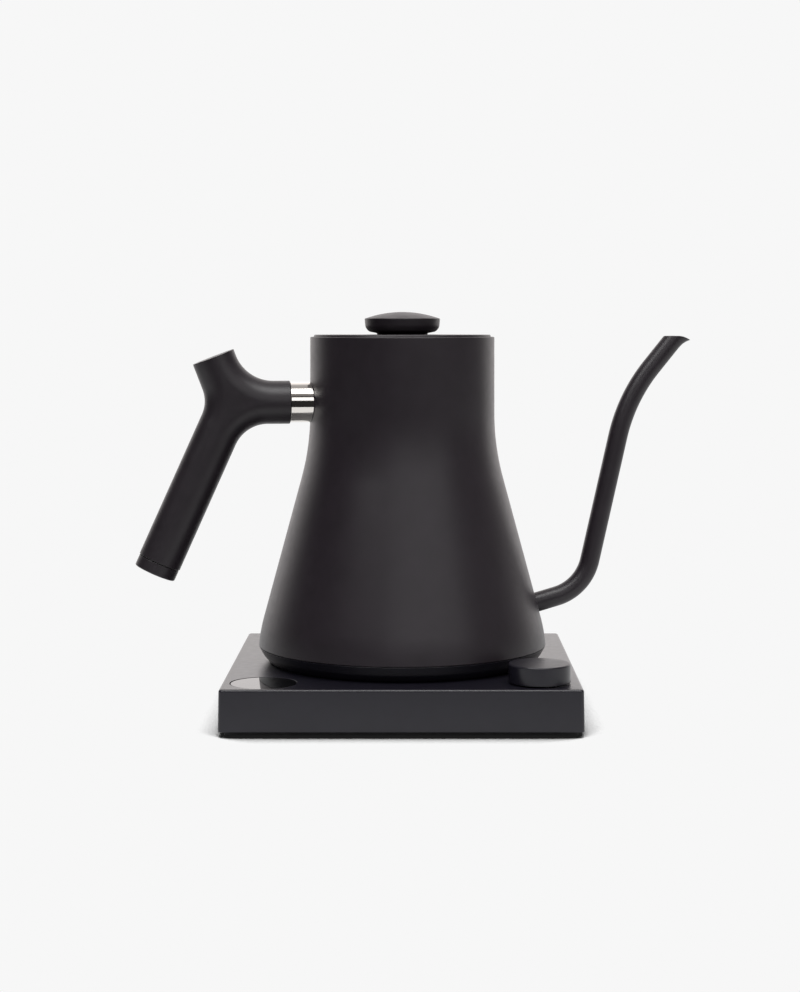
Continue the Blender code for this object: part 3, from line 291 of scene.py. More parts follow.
METALS = {
    "bright_steel": ((0.82, 0.79, 0.75), 0.08, FINE_LINES_ACROSS_X, 0.002 * MM, 0.02),
    "brushed_steel": ((0.6, 0.59, 0.57), 0.3, LINES_ROUND_Z, 0.01 * MM),
    "aluminium": ((0.72, 0.73, 0.74), 0.38, LINES_ACROSS_X, 0.01 * MM),
    "brass": ((0.76, 0.55, 0.25), 0.25, LINES_ROUND_Z, 0.005 * MM),
}
LOOKS = {name: textured_coat(name, *coat) for name, coat in COATS.items()}
LOOKS |= {name: worked_metal(name, *metal) for name, metal in METALS.items()}
LOOKS["inner_plastic"] = textured_coat("inner_plastic", *INNER_PLASTIC, Specular_IOR_Level=0.3)
LOOKS["display_gloss"] = textured_coat("display_gloss", *DISPLAY_GLOSS, IOR=1.6)
LOOKS["circuit_board"] = circuit_board_look()


def dress_frame_nodes():
    """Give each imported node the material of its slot."""
    for entry in frame["record"]["subparts"]:
        mesh = frame["nodes"][entry["node"]].data
        mesh.materials.clear()
        mesh.materials.append(LOOKS[entry["material_slot"]])


# ---- shape helpers ----

def corner_arc(here, before, after, radius):
    """Return the points that round a corner between the points before and after it."""
    before = (before - here).normalized()
    after = (after - here).normalized()
    half = before.angle(after) / 2
    middle = here + (before + after).normalized() * radius / math.sin(half)
    start = here + before * radius / math.tan(half) - middle
    end = here + after * radius / math.tan(half) - middle
    turn = math.atan2(start.x * end.y - start.y * end.x, start.dot(end))
    step = min(2 * math.acos(1 - min(CHORD_ERROR / radius, 1)), WIDEST_STEP)
    count = math.ceil(abs(turn) / step)
    return [tuple(middle + Matrix.Rotation(turn * part / count, 2) @ start) for part in range(count + 1)]


def rounded_outline(corners):
    """Return (a, b) points of an outline whose (a, b, radius) corners become arcs."""
    points = []
    places = [Vector(corner[:2]) for corner in corners]
    for index, corner in enumerate(corners):
        radius = corner[2] if len(corner) > 2 else 0
        if radius:
            following = places[(index + 1) % len(places)]
            points += corner_arc(places[index], places[index - 1], following, radius)
        else:
            points.append(tuple(places[index]))
    return points


def quarter_turns(parts):
    """Return the angles from 0 to 90 degrees that round an edge in a number of parts."""
    return [math.radians(90 * part / parts) for part in range(parts + 1)]


def bridge_rings(bm, first, second):
    """Join two rings of vertices; a ring may be a single vertex on the axis."""
    steps = max(len(first), len(second))
    for index in range(steps):
        following = (index + 1) % steps
        corners = (
            first[index % len(first)],
            first[following % len(first)],
            second[following % len(second)],
            second[index % len(second)],
        )
        bm.faces.new(dict.fromkeys(corners))


def shade(mesh):
    mesh.shade_smooth()
    mesh.set_sharp_from_angle(angle=SHARP_ANGLE)


def add_mesh(name, bm, slot):
    """Turn a bmesh into an object that is smooth but for its sharp edges."""
    bmesh.ops.remove_doubles(bm, verts=bm.verts, dist=WELD)
    bmesh.ops.recalc_face_normals(bm, faces=bm.faces)
    mesh = bpy.data.meshes.new(name)
    bm.to_mesh(mesh)
    bm.free()
    shade(mesh)
    mesh.materials.append(LOOKS[slot])
    made = bpy.data.objects.new(name, mesh)
    bpy.context.scene.collection.objects.link(made)
    made["slot_name"] = slot
    return made


def turned(name, outline, slot, place=AXIS, steps=MEDIUM_STEPS):
    """Turn an outline of (radius, height[, corner radius]) points about an upright axis."""
    bm = bmesh.new()
    rings = []
    for radius, height in rounded_outline(outline):
        if radius == 0:
            rings.append([bm.verts.new((0, 0, height))])
            continue
        angles = [2 * math.pi * index / steps for index in range(steps)]
        rings.append([bm.verts.new((radius * math.cos(a), radius * math.sin(a), height)) for a in angles])
    for first, second in zip(rings, rings[1:] + rings[:1]):
        if len(first) > 1 or len(second) > 1:
            bridge_rings(bm, first, second)
    made = add_mesh(name, bm, slot)
    made.location = (place[0], place[1], 0)
    return made


def lay_along(item, start, angle):
    """Place a turned piece's axis in the XZ plane, from an (x, z) point beside the kettle's axis."""
    item.location = (AXIS_X + start[0], 0, start[1])
    item.rotation_euler = (0, math.radians(90 - angle), 0)
    return item


def rod(name, radius, low, high, slot, steps=MEDIUM_STEPS):
    return turned(name, [(0, low), (radius, low), (radius, high), (0, high)], slot, steps=steps)


def box_shape(middle, size):
    """Return a bmesh of a box."""
    bm = bmesh.new()
    place = Matrix.Translation(middle) @ Matrix.Diagonal((*size, 1))
    bmesh.ops.create_cube(bm, size=1, matrix=place)
    return bm


def block(name, size, middle, slot="inner_plastic", edge=0.0):
    """Box, with rounded edges where an edge radius is given."""
    bm = box_shape(middle, size)
    if edge:
        bmesh.ops.bevel(bm, geom=bm.edges, offset=edge, segments=3, profile=0.5, affect="EDGES")
    return add_mesh(name, bm, slot)


def combine(target, tools, operation="DIFFERENCE"):
    """Cut the tools from a piece, or join them to it, and remove them."""
    for tool in tools:
        change = target.modifiers.new(tool.name, "BOOLEAN")
        change.operation = operation
        change.solver = "EXACT"
        change.object = tool
    graph = bpy.context.evaluated_depsgraph_get()
    target.data = bpy.data.meshes.new_from_object(target.evaluated_get(graph))
    target.modifiers.clear()
    while len(target.data.materials) > 1:
        target.data.materials.pop(index=1)
    shade(target.data)
    for tool in tools:
        bpy.data.objects.remove(tool)
    return target


def put_on(piece, body, *nodes):
    """Attach a piece to its body, in place of the nodes that it stands for."""
    weighted = piece.modifiers.new("weighted_normals", "WEIGHTED_NORMAL")
    weighted.keep_sharp = True
    if body in ("kettle", "lid"):
        piece.matrix_world = TURNED @ piece.matrix_basis
    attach(piece, body)
    if nodes:
        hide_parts(*nodes)
    return piece


def place_before_turn(node, body):
    """Return a node's place in plan, for the kettle's nodes before the kettle is turned on its base."""
    centre = node_centre(node)
    return (TURNED.inverted() @ centre).xy if body == "kettle" else centre.xy


def point_along(start, angle, distance):
    """Return the point at a distance from a start, at an angle in degrees from the first axis."""
    turn = math.radians(angle)
    return (start[0] + distance * math.cos(turn), start[1] + distance * math.sin(turn))


# ---- base ----

def square_outline(half, corner, parts=8):
    """Return the (x, y) points of a square with round corners, about the middle."""
    points = []
    for quarter in range(4):
        side_x = (half - corner) * (1 if quarter in (0, 3) else -1)
        side_y = (half - corner) * (1 if quarter in (0, 1) else -1)
        for part in range(parts + 1):
            turn = math.radians(90 * (quarter + part / parts))
            points.append((side_x + corner * math.cos(turn), side_y + corner * math.sin(turn)))
    return points


def square_tower(name, levels, slot):
    """Skin square rings given as (half side, corner radius, height), and close both ends."""
    bm = bmesh.new()
    rings = []
    for half, corner, height in levels:
        outline = square_outline(half, corner)
        rings.append([bm.verts.new((AXIS_X + x, y, height)) for x, y in outline])
    for first, second in zip(rings, rings[1:]):
        bridge_rings(bm, first, second)
    bm.faces.new(rings[0])
    bm.faces.new(rings[-1])
    return add_mesh(name, bm, slot)


def roof_hole(name, radius, place, edge):
    """Make a round cutter through the base's roof that also rounds the hole's upper edge."""
    low = ROOF_Z - 2 * MM
    high = BASE_HIGH.z
    outline = [(0, low), (radius, low), (radius, high - edge)]
    for turn in quarter_turns(4)[1:]:
        outline.append((radius + edge * (1 - math.cos(turn)), high - edge * (1 - math.sin(turn))))
    outline += [(radius + edge, high + 1 * MM), (0, high + 1 * MM)]
    return turned(name, outline, "base_plastic", place)


def base_levels():
    """Return the base's square rings: a fine foot edge, and a round top edge drawn in by the lean."""
    levels = []
    for turn in quarter_turns(4):
        inset = BASE_FOOT_EDGE * (1 - math.sin(turn))
        height = BASE_LOW.z + BASE_FOOT_EDGE * (1 - math.cos(turn))
        levels.append((BASE_HALF - inset, BASE_CORNER - inset, height))
    for turn in quarter_turns(8):
        inset = BASE_LEAN + BASE_EDGE * (1 - math.cos(turn))
        height = BASE_HIGH.z - BASE_EDGE * (1 - math.sin(turn))
        levels.append((BASE_HALF - inset, BASE_CORNER - inset, height))
    return levels


def lay_in_back_wall(item, node):
    """Lay a turned cutter or piece along Y, through the base's back wall at a node's place."""
    centre = node_centre(node)
    item.location = (centre.x, BASE_HALF, centre.z)
    item.rotation_euler = (math.radians(90), 0, 0)
    return item


def base_cover():
    """Square housing with holes for the tower, window, dial, switch and gland."""
    cover = square_tower("base_cover", base_levels(), "base_plastic")
    inner = BASE_HALF - BASE_WALL
    hollow_levels = [(inner, 1 * MM, -1 * MM), (inner - BASE_LEAN, 1 * MM, ROOF_Z)]
    slider = node_centre("hold_slider")
    slot_middle = (slider.x + SWITCH_TRAVEL / 2, BASE_HALF, slider.z)
    gland_hole = rod("gland_hole", GLAND_NECK + 0.25 * MM, -5 * MM, 5 * MM, "base_plastic")
    holes = [
        square_tower("hollow", hollow_levels, "base_plastic"),
        roof_hole("tower_hole", TOWER_RADIUS + TOWER_GAP, AXIS, 0.4 * MM),
        roof_hole("lens_hole", node_radius("display_lens") + 0.4 * MM, LENS_CENTRE.xy, 0.15 * MM),
        roof_hole("bushing_hole", 5.0 * MM, DIAL_CENTRE.xy, 0.2 * MM),
        block("slot", (9.6 * MM, 8 * MM, 5 * MM), slot_middle, edge=0.8 * MM),
        lay_in_back_wall(gland_hole, "cord_gland"),
    ]
    put_on(combine(cover, holes), "base", "base_housing")


def display_window():
    low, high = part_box("display_lens")
    radius = node_radius("display_lens")
    face_z = high.z - 0.12 * MM
    outline = [(0, low.z), (radius, low.z), (radius, face_z, 0.25 * MM), (0, face_z)]
    put_on(turned("display_window", outline, "display_gloss", LENS_CENTRE.xy), "base", "display_lens")


def dial():
    """Cap with a hub that holds the encoder's shaft."""
    low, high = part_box("dial_cap")
    wall = 1.6 * MM
    bore = 3.3 * MM
    hub = bore + 1.5 * MM
    hub_low = low.z + 0.8 * MM
    under = high.z - wall
    outline = [
        (0, high.z),
        (DIAL_RADIUS, high.z, 0.8 * MM),
        (DIAL_RADIUS, low.z, 0.25 * MM),
        (DIAL_RADIUS - wall, low.z, 0.2 * MM),
        (DIAL_RADIUS - wall, under, 0.6 * MM),
        (hub, under, 0.4 * MM),
        (hub, hub_low),
        (bore, hub_low),
        (bore, under),
        (0, under),
    ]
    put_on(turned("dial_knob", outline, "base_plastic", DIAL_CENTRE.xy, LARGE_STEPS), "dial", "dial_cap")


def snap_dome():
    """Make the encoder's sprung dome, which the dial's shaft flattens when the dial is pressed."""
    low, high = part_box("encoder_dome")
    radius = node_radius("encoder_dome")
    crown = 0.8 * MM
    sheet = 0.35 * MM
    rim = radius - 0.5 * MM
    outline = [
        (0, high.z),
        (crown, high.z, 1.0 * MM),
        (rim, low.z + sheet, 0.5 * MM),
        (radius, low.z + sheet, 0.1 * MM),
        (radius, low.z),
        (rim, low.z, 0.3 * MM),
        (crown, high.z - sheet, 0.6 * MM),
        (0, high.z - sheet),
    ]
    dome = turned("snap_dome", outline, "brushed_steel", DIAL_CENTRE.xy, SMALL_STEPS)
    put_on(dome, "base", "encoder_dome")
    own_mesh(dome)


def feet():
    """Round pads with a shallow dish in the middle of their sole."""
    for number in range(1, 5):
        node = f"foot_{number}"
        low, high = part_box(node)
        radius = node_radius(node)
        dish_z = low.z + 0.35 * MM
        outline = [
            (0, dish_z),
            (radius - 2.2 * MM, dish_z, 0.2 * MM),
            (radius - 1.8 * MM, low.z, 0.2 * MM),
            (radius, low.z, 0.35 * MM),
            (radius, high.z, 0.2 * MM),
            (0, high.z),
        ]
        place = node_centre(node).xy
        put_on(turned(f"foot_pad_{number}", outline, "rubber", place, SMALL_STEPS), "base", node)


def screws():
    """Pan-head screws with a cross recess, seen from below."""
    names = [(f"base_screw_{n}", "base") for n in range(1, 5)]
    names += [(f"under_cover_screw_{n}", "kettle") for n in range(1, 4)]
    for node, body in names:
        low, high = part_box(node)
        place = place_before_turn(node, body)
        head = node_radius(node)
        shank = 1.45 * MM
        head_high = low.z + 1.2 * MM
        outline = [
            (0, low.z),
            (head, low.z, 0.7 * MM),
            (head, head_high, 0.1 * MM),
            (shank, head_high),
            (shank, high.z - shank),
            (0, high.z),
        ]
        made = turned(node + "_fine", outline, "brushed_steel", place, SMALL_STEPS)
        middle = (*place, low.z)
        span, width, depth = head * 1.1, head * 0.26, 1.4 * MM
        bars = [
            block("bar_a", (span, width, depth), middle, "brushed_steel"),
            block("bar_b", (width, span, depth), middle, "brushed_steel"),
        ]
        put_on(combine(made, bars), body, node)


def tower():
    """Connector with a bore for the pin, a groove for the ring and a flange under the roof."""
    low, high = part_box("base_connector")
    groove_low = 24.6 * MM
    bore_low = 22.6 * MM
    flange_high = ROOF_Z - 0.3 * MM
    flange_low = flange_high - 2.5 * MM
    outline = [
        (0, bore_low),
        (4.0 * MM, bore_low),
        (4.0 * MM, high.z, 0.5 * MM),
        (6.5 * MM, high.z, 0.5 * MM),
        (6.5 * MM, groove_low),
        (11.0 * MM, groove_low),
        (11.0 * MM, high.z, 0.5 * MM),
        (TOWER_RADIUS, high.z, 1.2 * MM),
        (TOWER_RADIUS, flange_high),
        (22.0 * MM, flange_high, 0.3 * MM),
        (22.0 * MM, flange_low, 0.3 * MM),
        (16.0 * MM, flange_low),
        (16.0 * MM, low.z, 0.6 * MM),
        (0, low.z),
    ]
    put_on(turned("connector_tower", outline, "inner_plastic"), "base", "base_connector")


def slide_switch():
    """Thumb piece with three grip ridges, on the plate that slides behind the wall."""
    low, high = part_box("hold_slider")
    middle = (low + high) / 2
    plate_depth = 1.2 * MM
    plate_size = (high.x - low.x, plate_depth, high.z - low.z)
    plate_middle = (middle.x, low.y + plate_depth / 2, middle.z)
    plate = block("hold_thumb", plate_size, plate_middle, edge=0.15 * MM)
    knob_low = low.y + 1.0 * MM
    knob_depth = high.y - 0.5 * MM - knob_low
    knob_middle = (middle.x, knob_low + knob_depth / 2, middle.z)
    parts = [block("knob", (5 * MM, knob_depth, 4.4 * MM), knob_middle, edge=0.25 * MM)]
    for offset in (-1.5 * MM, 0, 1.5 * MM):
        ridge_middle = (middle.x + offset, high.y - 0.62 * MM, middle.z)
        parts.append(block("ridge", (0.7 * MM, 1.2 * MM, 4.0 * MM), ridge_middle, edge=0.2 * MM))
    put_on(combine(plate, parts, "UNION"), "hold_slide", "hold_slider")


def gland():
    """Rubber bush with a blind hole, a fine groove in its face and a flange behind the wall."""
    hole = 3.4 * MM
    hole_end = 3.1 * MM
    flange = 8.5 * MM
    face = 0.6 * MM
    groove = 0.9 * MM
    outline = [
        (0, hole_end),
        (hole, hole_end, 0.4 * MM),
        (hole, face, 0.5 * MM),
        (4.3 * MM, face, 0.2 * MM),
        (4.5 * MM, groove, 0.1 * MM),
        (5.0 * MM, groove, 0.1 * MM),
        (5.2 * MM, face, 0.1 * MM),
        (GLAND_NECK, face, 0.4 * MM),
        (GLAND_NECK, 2.8 * MM),
        (flange, 2.8 * MM),
        (flange, 6.0 * MM),
        (0, 6.0 * MM),
    ]
    put_on(lay_in_back_wall(turned("gland_bush", outline, "rubber"), "cord_gland"), "base", "cord_gland")


# ---- kettle body ----

def body_outline(inset, low_z, high_z):
    """Return the wall's corners from low to high at a distance inside its outer face."""
    return [
        (SEAM_RADIUS - inset, low_z),
        (FOOT_BEND_RADIUS - inset, FOOT_BEND_Z, FOOT_BLEND),
        (NECK_RADIUS - inset, NECK_CORNER_Z, NECK_BLEND),
        (NECK_RADIUS - inset, high_z),
    ]


def wall_radius(height):
    """Return the outer wall's radius at a height, on the cone or the neck."""
    slope = (FOOT_BEND_RADIUS - NECK_RADIUS) / (NECK_CORNER_Z - FOOT_BEND_Z)
    return NECK_RADIUS + max(0, slope * (NECK_CORNER_Z - height))


def spout_angle():
    """Return the angle in degrees at which the spout leaves the wall."""
    rise = SPOUT_LOW_CORNER[1] - SPOUT_ROOT[1]
    return math.degrees(math.atan2(rise, SPOUT_LOW_CORNER[0] - SPOUT_ROOT[0]))


def spout_bore(name):
    bore = rod(name, SPOUT_BORE, -15 * MM, 15 * MM, "body_paint", steps=SMALL_STEPS)
    return lay_along(bore, SPOUT_ROOT, spout_angle())


def shell():
    """Painted outer skin with its rolled rim, and the bare steel wall inside it."""
    outer = body_outline(0, SEAM_Z, RIM_Z)
    outer[0] = (*outer[0], 0.5 * MM)
    outer[-1] = (*outer[-1], 0.6 * MM)
    sheet = 0.7 * MM
    rim = [
        (OPENING_RADIUS, RIM_Z, 1.7 * MM),
        (OPENING_RADIUS, RIM_LOW_Z, 0.25 * MM),
        (OPENING_RADIUS + sheet, RIM_LOW_Z, 0.25 * MM),
        (OPENING_RADIUS + sheet, RIM_Z - sheet, 1.0 * MM),
    ]
    inner = body_outline(SKIN, SEAM_Z, RIM_Z - sheet)[::-1]
    skin = turned("kettle_skin", outer + rim + inner, "body_paint", steps=LARGE_STEPS)
    put_on(combine(skin, [spout_bore("skin_bore")]), "kettle", "kettle_shell")
    liner = turned("kettle_liner", liner_outline(), "brushed_steel", steps=LARGE_STEPS)
    put_on(combine(liner, [spout_bore("liner_bore")]), "kettle")


def liner_outline():
    """Return the steel wall's outline: the cone and the neck, from just over the floor to the rim."""
    faces = []
    for inset in (WALL, SKIN + LINER_GAP):
        neck = body_outline(inset, LINER_LOW_Z, RIM_Z - 1.2 * MM)[2:]
        faces.append([(wall_radius(LINER_LOW_Z) - inset, LINER_LOW_Z), *neck])
    return faces[0] + faces[1][::-1]


def vessel_floor():
    """Floor pressed from sheet with an upturned edge, a raised middle and three screw bosses."""
    radius = wall_radius(FLOOR_TOP_Z) - WALL - 0.15 * MM
    low = FLOOR_TOP_Z - FLOOR_SHEET
    raised = FLOOR_TOP_Z + 0.6 * MM
    outline = [
        (PROBE_HOLE, low),
        (radius, low, 0.6 * MM),
        (radius, FLOOR_TOP_Z + 2.4 * MM),
        (radius - 0.9 * MM, FLOOR_TOP_Z + 2.2 * MM),
        (radius - 1.6 * MM, FLOOR_TOP_Z, 2.2 * MM),
        (40 * MM, FLOOR_TOP_Z),
        (38 * MM, raised, 4 * MM),
        (PROBE_HOLE, raised),
    ]
    floor = turned("vessel_floor_fine", outline, "brushed_steel", steps=LARGE_STEPS)
    boss_low = 31 * MM
    boss_high = low + FLOOR_SHEET / 2
    hole_end = 40 * MM
    bosses = []
    for number in range(1, 4):
        place = place_before_turn(f"under_cover_screw_{number}", "kettle")
        corners = [
            (0, hole_end),
            (SCREW_HOLE, hole_end),
            (SCREW_HOLE, boss_low),
            (SCREW_SEAT, boss_low),
            (SCREW_SEAT, boss_high),
            (0, boss_high),
        ]
        bosses.append(turned(f"boss_{number}", corners, "brushed_steel", place, SMALL_STEPS))
    put_on(combine(floor, bosses, "UNION"), "kettle", "kettle_floor")


def under_cover():
    """Plastic bottom with a standing ring, a recess, drip grooves and screw seats."""
    inner = SOCKET_RADIUS + 0.6 * MM
    sheet_high = 27.8 * MM
    groove = UNDER_Z + 0.5 * MM
    seam = SEAM_Z - 0.15 * MM
    spigot = SEAM_RADIUS - 1.9 * MM
    spigot_inside = spigot - 1.6 * MM
    spigot_high = SEAM_Z + 3.0 * MM
    outline = [
        (inner, UNDER_Z, 0.3 * MM),
        (30.0 * MM, UNDER_Z, 0.1 * MM),
        (30.4 * MM, groove, 0.1 * MM),
        (31.6 * MM, groove, 0.1 * MM),
        (32.0 * MM, UNDER_Z, 0.1 * MM),
        (55.0 * MM, UNDER_Z, 0.5 * MM),
        (57.0 * MM, STANDING_RING_Z, 0.5 * MM),
        (68.6 * MM, STANDING_RING_Z, 1.4 * MM),
        (71.8 * MM, 27.1 * MM, 6.0 * MM),
        (SEAM_RADIUS - 0.05 * MM, seam, 0.1 * MM),
        (spigot, seam),
        (spigot, spigot_high, 0.3 * MM),
        (spigot_inside, spigot_high, 0.3 * MM),
        (spigot_inside, 29.6 * MM, 1.0 * MM),
        (66.0 * MM, sheet_high, 1.0 * MM),
        (inner, sheet_high),
    ]
    cover = turned("under_cover_fine", outline, "base_plastic", steps=LARGE_STEPS)
    cut_low = 20 * MM
    cut_high = 32 * MM
    seat_z = UNDER_Z + 0.6 * MM
    corners = [
        (0, cut_low),
        (SCREW_SEAT, cut_low),
        (SCREW_SEAT, seat_z),
        (SCREW_HOLE, seat_z),
        (SCREW_HOLE, cut_high),
        (0, cut_high),
    ]
    seats = []
    for number in range(1, 4):
        place = place_before_turn(f"under_cover_screw_{number}", "kettle")
        seats.append(turned(f"seat_{number}", corners, "base_plastic", place, SMALL_STEPS))
    put_on(combine(cover, seats), "kettle", "under_cover")


def kettle_socket():
    """Socket that drops over the tower, with holes for the pin and a groove for the ring."""
    low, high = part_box("kettle_connector")
    pin_hole = 2.9 * MM
    roof = 34.0 * MM
    ring_seat = roof + 2 * MM
    inner = TOWER_RADIUS + TOWER_GAP
    outline = [
        (pin_hole, roof),
        (7.0 * MM, roof),
        (7.0 * MM, ring_seat),
        (9.8 * MM, ring_seat),
        (9.8 * MM, roof),
        (inner, roof, 0.4 * MM),
        (inner, low.z + 1.2 * MM, 0.4 * MM),
        (inner + 0.8 * MM, low.z, 0.3 * MM),
        (SOCKET_RADIUS, low.z, 0.6 * MM),
        (SOCKET_RADIUS, high.z, 0.8 * MM),
        (pin_hole, high.z),
    ]
    put_on(turned("socket_body", outline, "inner_plastic"), "kettle_socket", "kettle_connector")


def probe():
    """Round-nosed temperature probe on a wider foot."""
    low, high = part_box("temperature_probe")
    foot_high = 40.8 * MM
    outline = [
        (0, low.z),
        (5.0 * MM, low.z),
        (5.0 * MM, foot_high),
        (3.0 * MM, foot_high),
        (3.0 * MM, high.z, 2.4 * MM),
        (0, high.z),
    ]
    put_on(turned("probe_fine", outline, "brushed_steel", steps=SMALL_STEPS), "kettle", "temperature_probe")


# ---- spout ----

def ring_point(middle, ahead, radius, roll, reach=0.0):
    """Return a point of the ring across a line that runs in the XZ plane."""
    front = Vector((ahead.y, -ahead.x))
    place = middle + front * (radius * math.cos(roll) + reach)
    return Vector((AXIS_X + place.x, radius * math.sin(roll), place.y))


def mouth_point(tip, ahead, radius, roll, share, drop=0.0):
    """Move from a square cut before the mouth (share 0) to the level, lipped edge (share 1)."""
    forward = max(0.0, math.cos(roll))
    reach = LIP_REACH * forward ** 2
    edge_z = MOUTH_Z - drop - LIP_DROOP * forward ** 2
    across = radius * math.cos(roll) + reach
    edge_run = (edge_z - tip.y + ahead.x * across) / ahead.y
    run = -LIP_LENGTH + share * (edge_run + LIP_LENGTH)
    return ring_point(tip + ahead * run, ahead, radius, roll, reach * share ** 3)


def spout_rings(path, radius, sides, drop=0.0):
    """Return the points of the rings along the spout, the last ones leading into the mouth."""
    rings = []
    rolls = [2 * math.pi * side / sides for side in range(sides)]
    for index, middle in enumerate(path[:-1]):
        before = Vector(path[max(index - 1, 0)])
        ahead = (Vector(path[index + 1]) - before).normalized()
        rings.append([ring_point(Vector(middle), ahead, radius, roll) for roll in rolls])
    tip = Vector(path[-1])
    ahead = (tip - Vector(path[-2])).normalized()
    stations = 14
    for station in range(stations + 1):
        share = station / stations
        rings.append([mouth_point(tip, ahead, radius, roll, share, drop) for roll in rolls])
    return rings


def spout():
    """Bent tube with a rounded, lipped mouth and a small weld where it leaves the wall."""
    path = rounded_outline([SPOUT_ROOT, SPOUT_LOW_CORNER, SPOUT_HIGH_CORNER, SPOUT_TIP])
    sides = 56
    edge = 0.2 * MM
    outer = spout_rings(path, SPOUT_RADIUS, sides, edge)
    inner = spout_rings(path, SPOUT_BORE, sides, edge)
    middle_ring = spout_rings(path, (SPOUT_RADIUS + SPOUT_BORE) / 2, sides)[-1]
    bm = bmesh.new()
    rings = [[bm.verts.new(point) for point in ring] for ring in outer + [middle_ring] + inner[::-1]]
    for first, second in zip(rings, rings[1:] + rings[:1]):
        bridge_rings(bm, first, second)
    put_on(add_mesh("spout_tube", bm, "body_paint"), "kettle", "spout")
    turn = math.radians(spout_angle())
    ahead = Vector((math.cos(turn), 0, math.sin(turn)))
    root = Vector((AXIS_X + SPOUT_ROOT[0], 0, SPOUT_ROOT[1]))
    weld = fillet_ring("spout_weld", root, ahead, SPOUT_RADIUS, 0.7 * MM)
    put_on(weld, "kettle")


def fillet_ring(name, root, ahead, radius, fillet, sides=72, parts=8):
    """Ring that runs from the kettle's wall up a tube in a concave curve all the way round."""
    upward = ahead.orthogonal().normalized()
    sideways = ahead.cross(upward)
    sunk = 0.3 * MM
    section = []
    for turn in quarter_turns(parts):
        section.append((radius + fillet * (1 - math.sin(turn)), fillet * (1 - math.cos(turn))))
    section += [(radius - sunk, fillet), (radius - sunk, -sunk), (radius + fillet, -sunk)]
    bm = bmesh.new()
    rings = []
    for side in range(sides):
        roll = 2 * math.pi * side / sides
        spoke = upward * math.cos(roll) + sideways * math.sin(roll)
        ring = []
        for away, rise in section:
            foot = slide_to_wall(root + spoke * away, ahead)
            ring.append(bm.verts.new(foot + ahead * rise))
        rings.append(ring)
    for first, second in zip(rings, rings[1:] + rings[:1]):
        bridge_rings(bm, first, second)
    return add_mesh(name, bm, "body_paint")


def slide_to_wall(point, ahead):
    """Slide a point along a direction until it lies on the kettle's outer wall."""
    for _ in range(12):
        flat = Vector((point.x - AXIS_X, point.y))
        point = point + ahead * ((wall_radius(point.z) - flat.length) / ahead.xy.length)
    return point


# ---- handle ----

CAP_START = point_along(HANDLE_JOIN, GRIP_ANGLE, GRIP_LENGTH - END_CAP_LENGTH)


def arc_reach(first, second, fillet):
    """Return how far from the join a fillet between two branches starts."""
    half = math.radians((second[0] - first[0]) % 360) / 2
    return (fillet + HANDLE_RADIUS) / math.tan(half)


def sector_stations(first, second, fillet, leave_first, leave_second):
    """Return (point, radius) stations of the half tube between two branches, end to end."""
    short = 2 * MM
    corners = [
        point_along(HANDLE_JOIN, first[0], first[1] - short),
        point_along(HANDLE_JOIN, first[0], leave_first),
        (*HANDLE_JOIN, fillet + HANDLE_RADIUS),
        point_along(HANDLE_JOIN, second[0], leave_second),
        point_along(HANDLE_JOIN, second[0], second[1] - short),
    ]
    path = []
    for point in rounded_outline(corners):
        if not path or math.dist(point, path[-1]) > 0.01 * MM:
            path.append(point)
    stations = [(point, HANDLE_RADIUS) for point in path]
    return branch_end(first) + stations + branch_end(second)[::-1]


def branch_end(branch):
    """Return the stations that round a branch's outer edge, from its end face inwards."""
    stations = []
    for turn in quarter_turns(HANDLE_EDGE_PARTS):
        point = point_along(HANDLE_JOIN, branch[0], branch[1] - HANDLE_EDGE * (1 - math.cos(turn)))
        stations.append((point, HANDLE_RADIUS - HANDLE_EDGE * (1 - math.sin(turn))))
    return stations


def half_rings(bm, stations, side):
    """Add a half ring at each station, bulging towards the given side, and return the rings."""
    rings = []
    for number, (middle, radius) in enumerate(stations):
        before = Vector(stations[max(number - 1, 0)][0])
        after = Vector(stations[min(number + 1, len(stations) - 1)][0])
        ahead = (after - before).normalized()
        outward = Vector((-ahead.y, ahead.x))
        if outward.dot(side) < 0:
            outward = -outward
        ring = []
        for part in range(HANDLE_PARTS + 1):
            roll = math.pi * part / HANDLE_PARTS
            place = Vector(middle) + outward * radius * math.sin(roll)
            ring.append(bm.verts.new((AXIS_X + place.x, radius * math.cos(roll), place.y)))
        rings.append(ring)
    return rings


def handle_tubes():
    """Return a bmesh of the half tubes between the branches and the flat cheeks between those."""
    branches = (
        (0.0, ARM_LENGTH),
        (HORN_ANGLE, HORN_LENGTH),
        (GRIP_ANGLE, GRIP_LENGTH - END_CAP_LENGTH - END_CAP_GAP),
    )
    fillets = (ARM_HORN_FILLET, HORN_GRIP_FILLET, GRIP_ARM_FILLET)
    reaches = [arc_reach(branches[i], branches[(i + 1) % 3], fillets[i]) for i in range(3)]
    leaves = [max(reaches[i], reaches[i - 1]) for i in range(3)]
    ends = HANDLE_EDGE_PARTS + 2
    bm = bmesh.new()
    cheeks = ([], [])
    for index in range(3):
        first, second = branches[index], branches[(index + 1) % 3]
        stations = sector_stations(first, second, fillets[index], leaves[index], leaves[(index + 1) % 3])
        middle_angle = math.radians(first[0] + ((second[0] - first[0]) % 360) / 2)
        rings = half_rings(bm, stations, Vector((math.cos(middle_angle), math.sin(middle_angle))))
        for one, two in zip(rings, rings[1:]):
            for part in range(HANDLE_PARTS):
                bm.faces.new((one[part], one[part + 1], two[part + 1], two[part]))
        cheeks[0].extend(ring[0] for ring in rings[ends:-ends - 1])
        cheeks[1].extend(ring[-1] for ring in rings[ends:-ends - 1])
    for corners in cheeks:
        bm.faces.new(corners)
    return bm


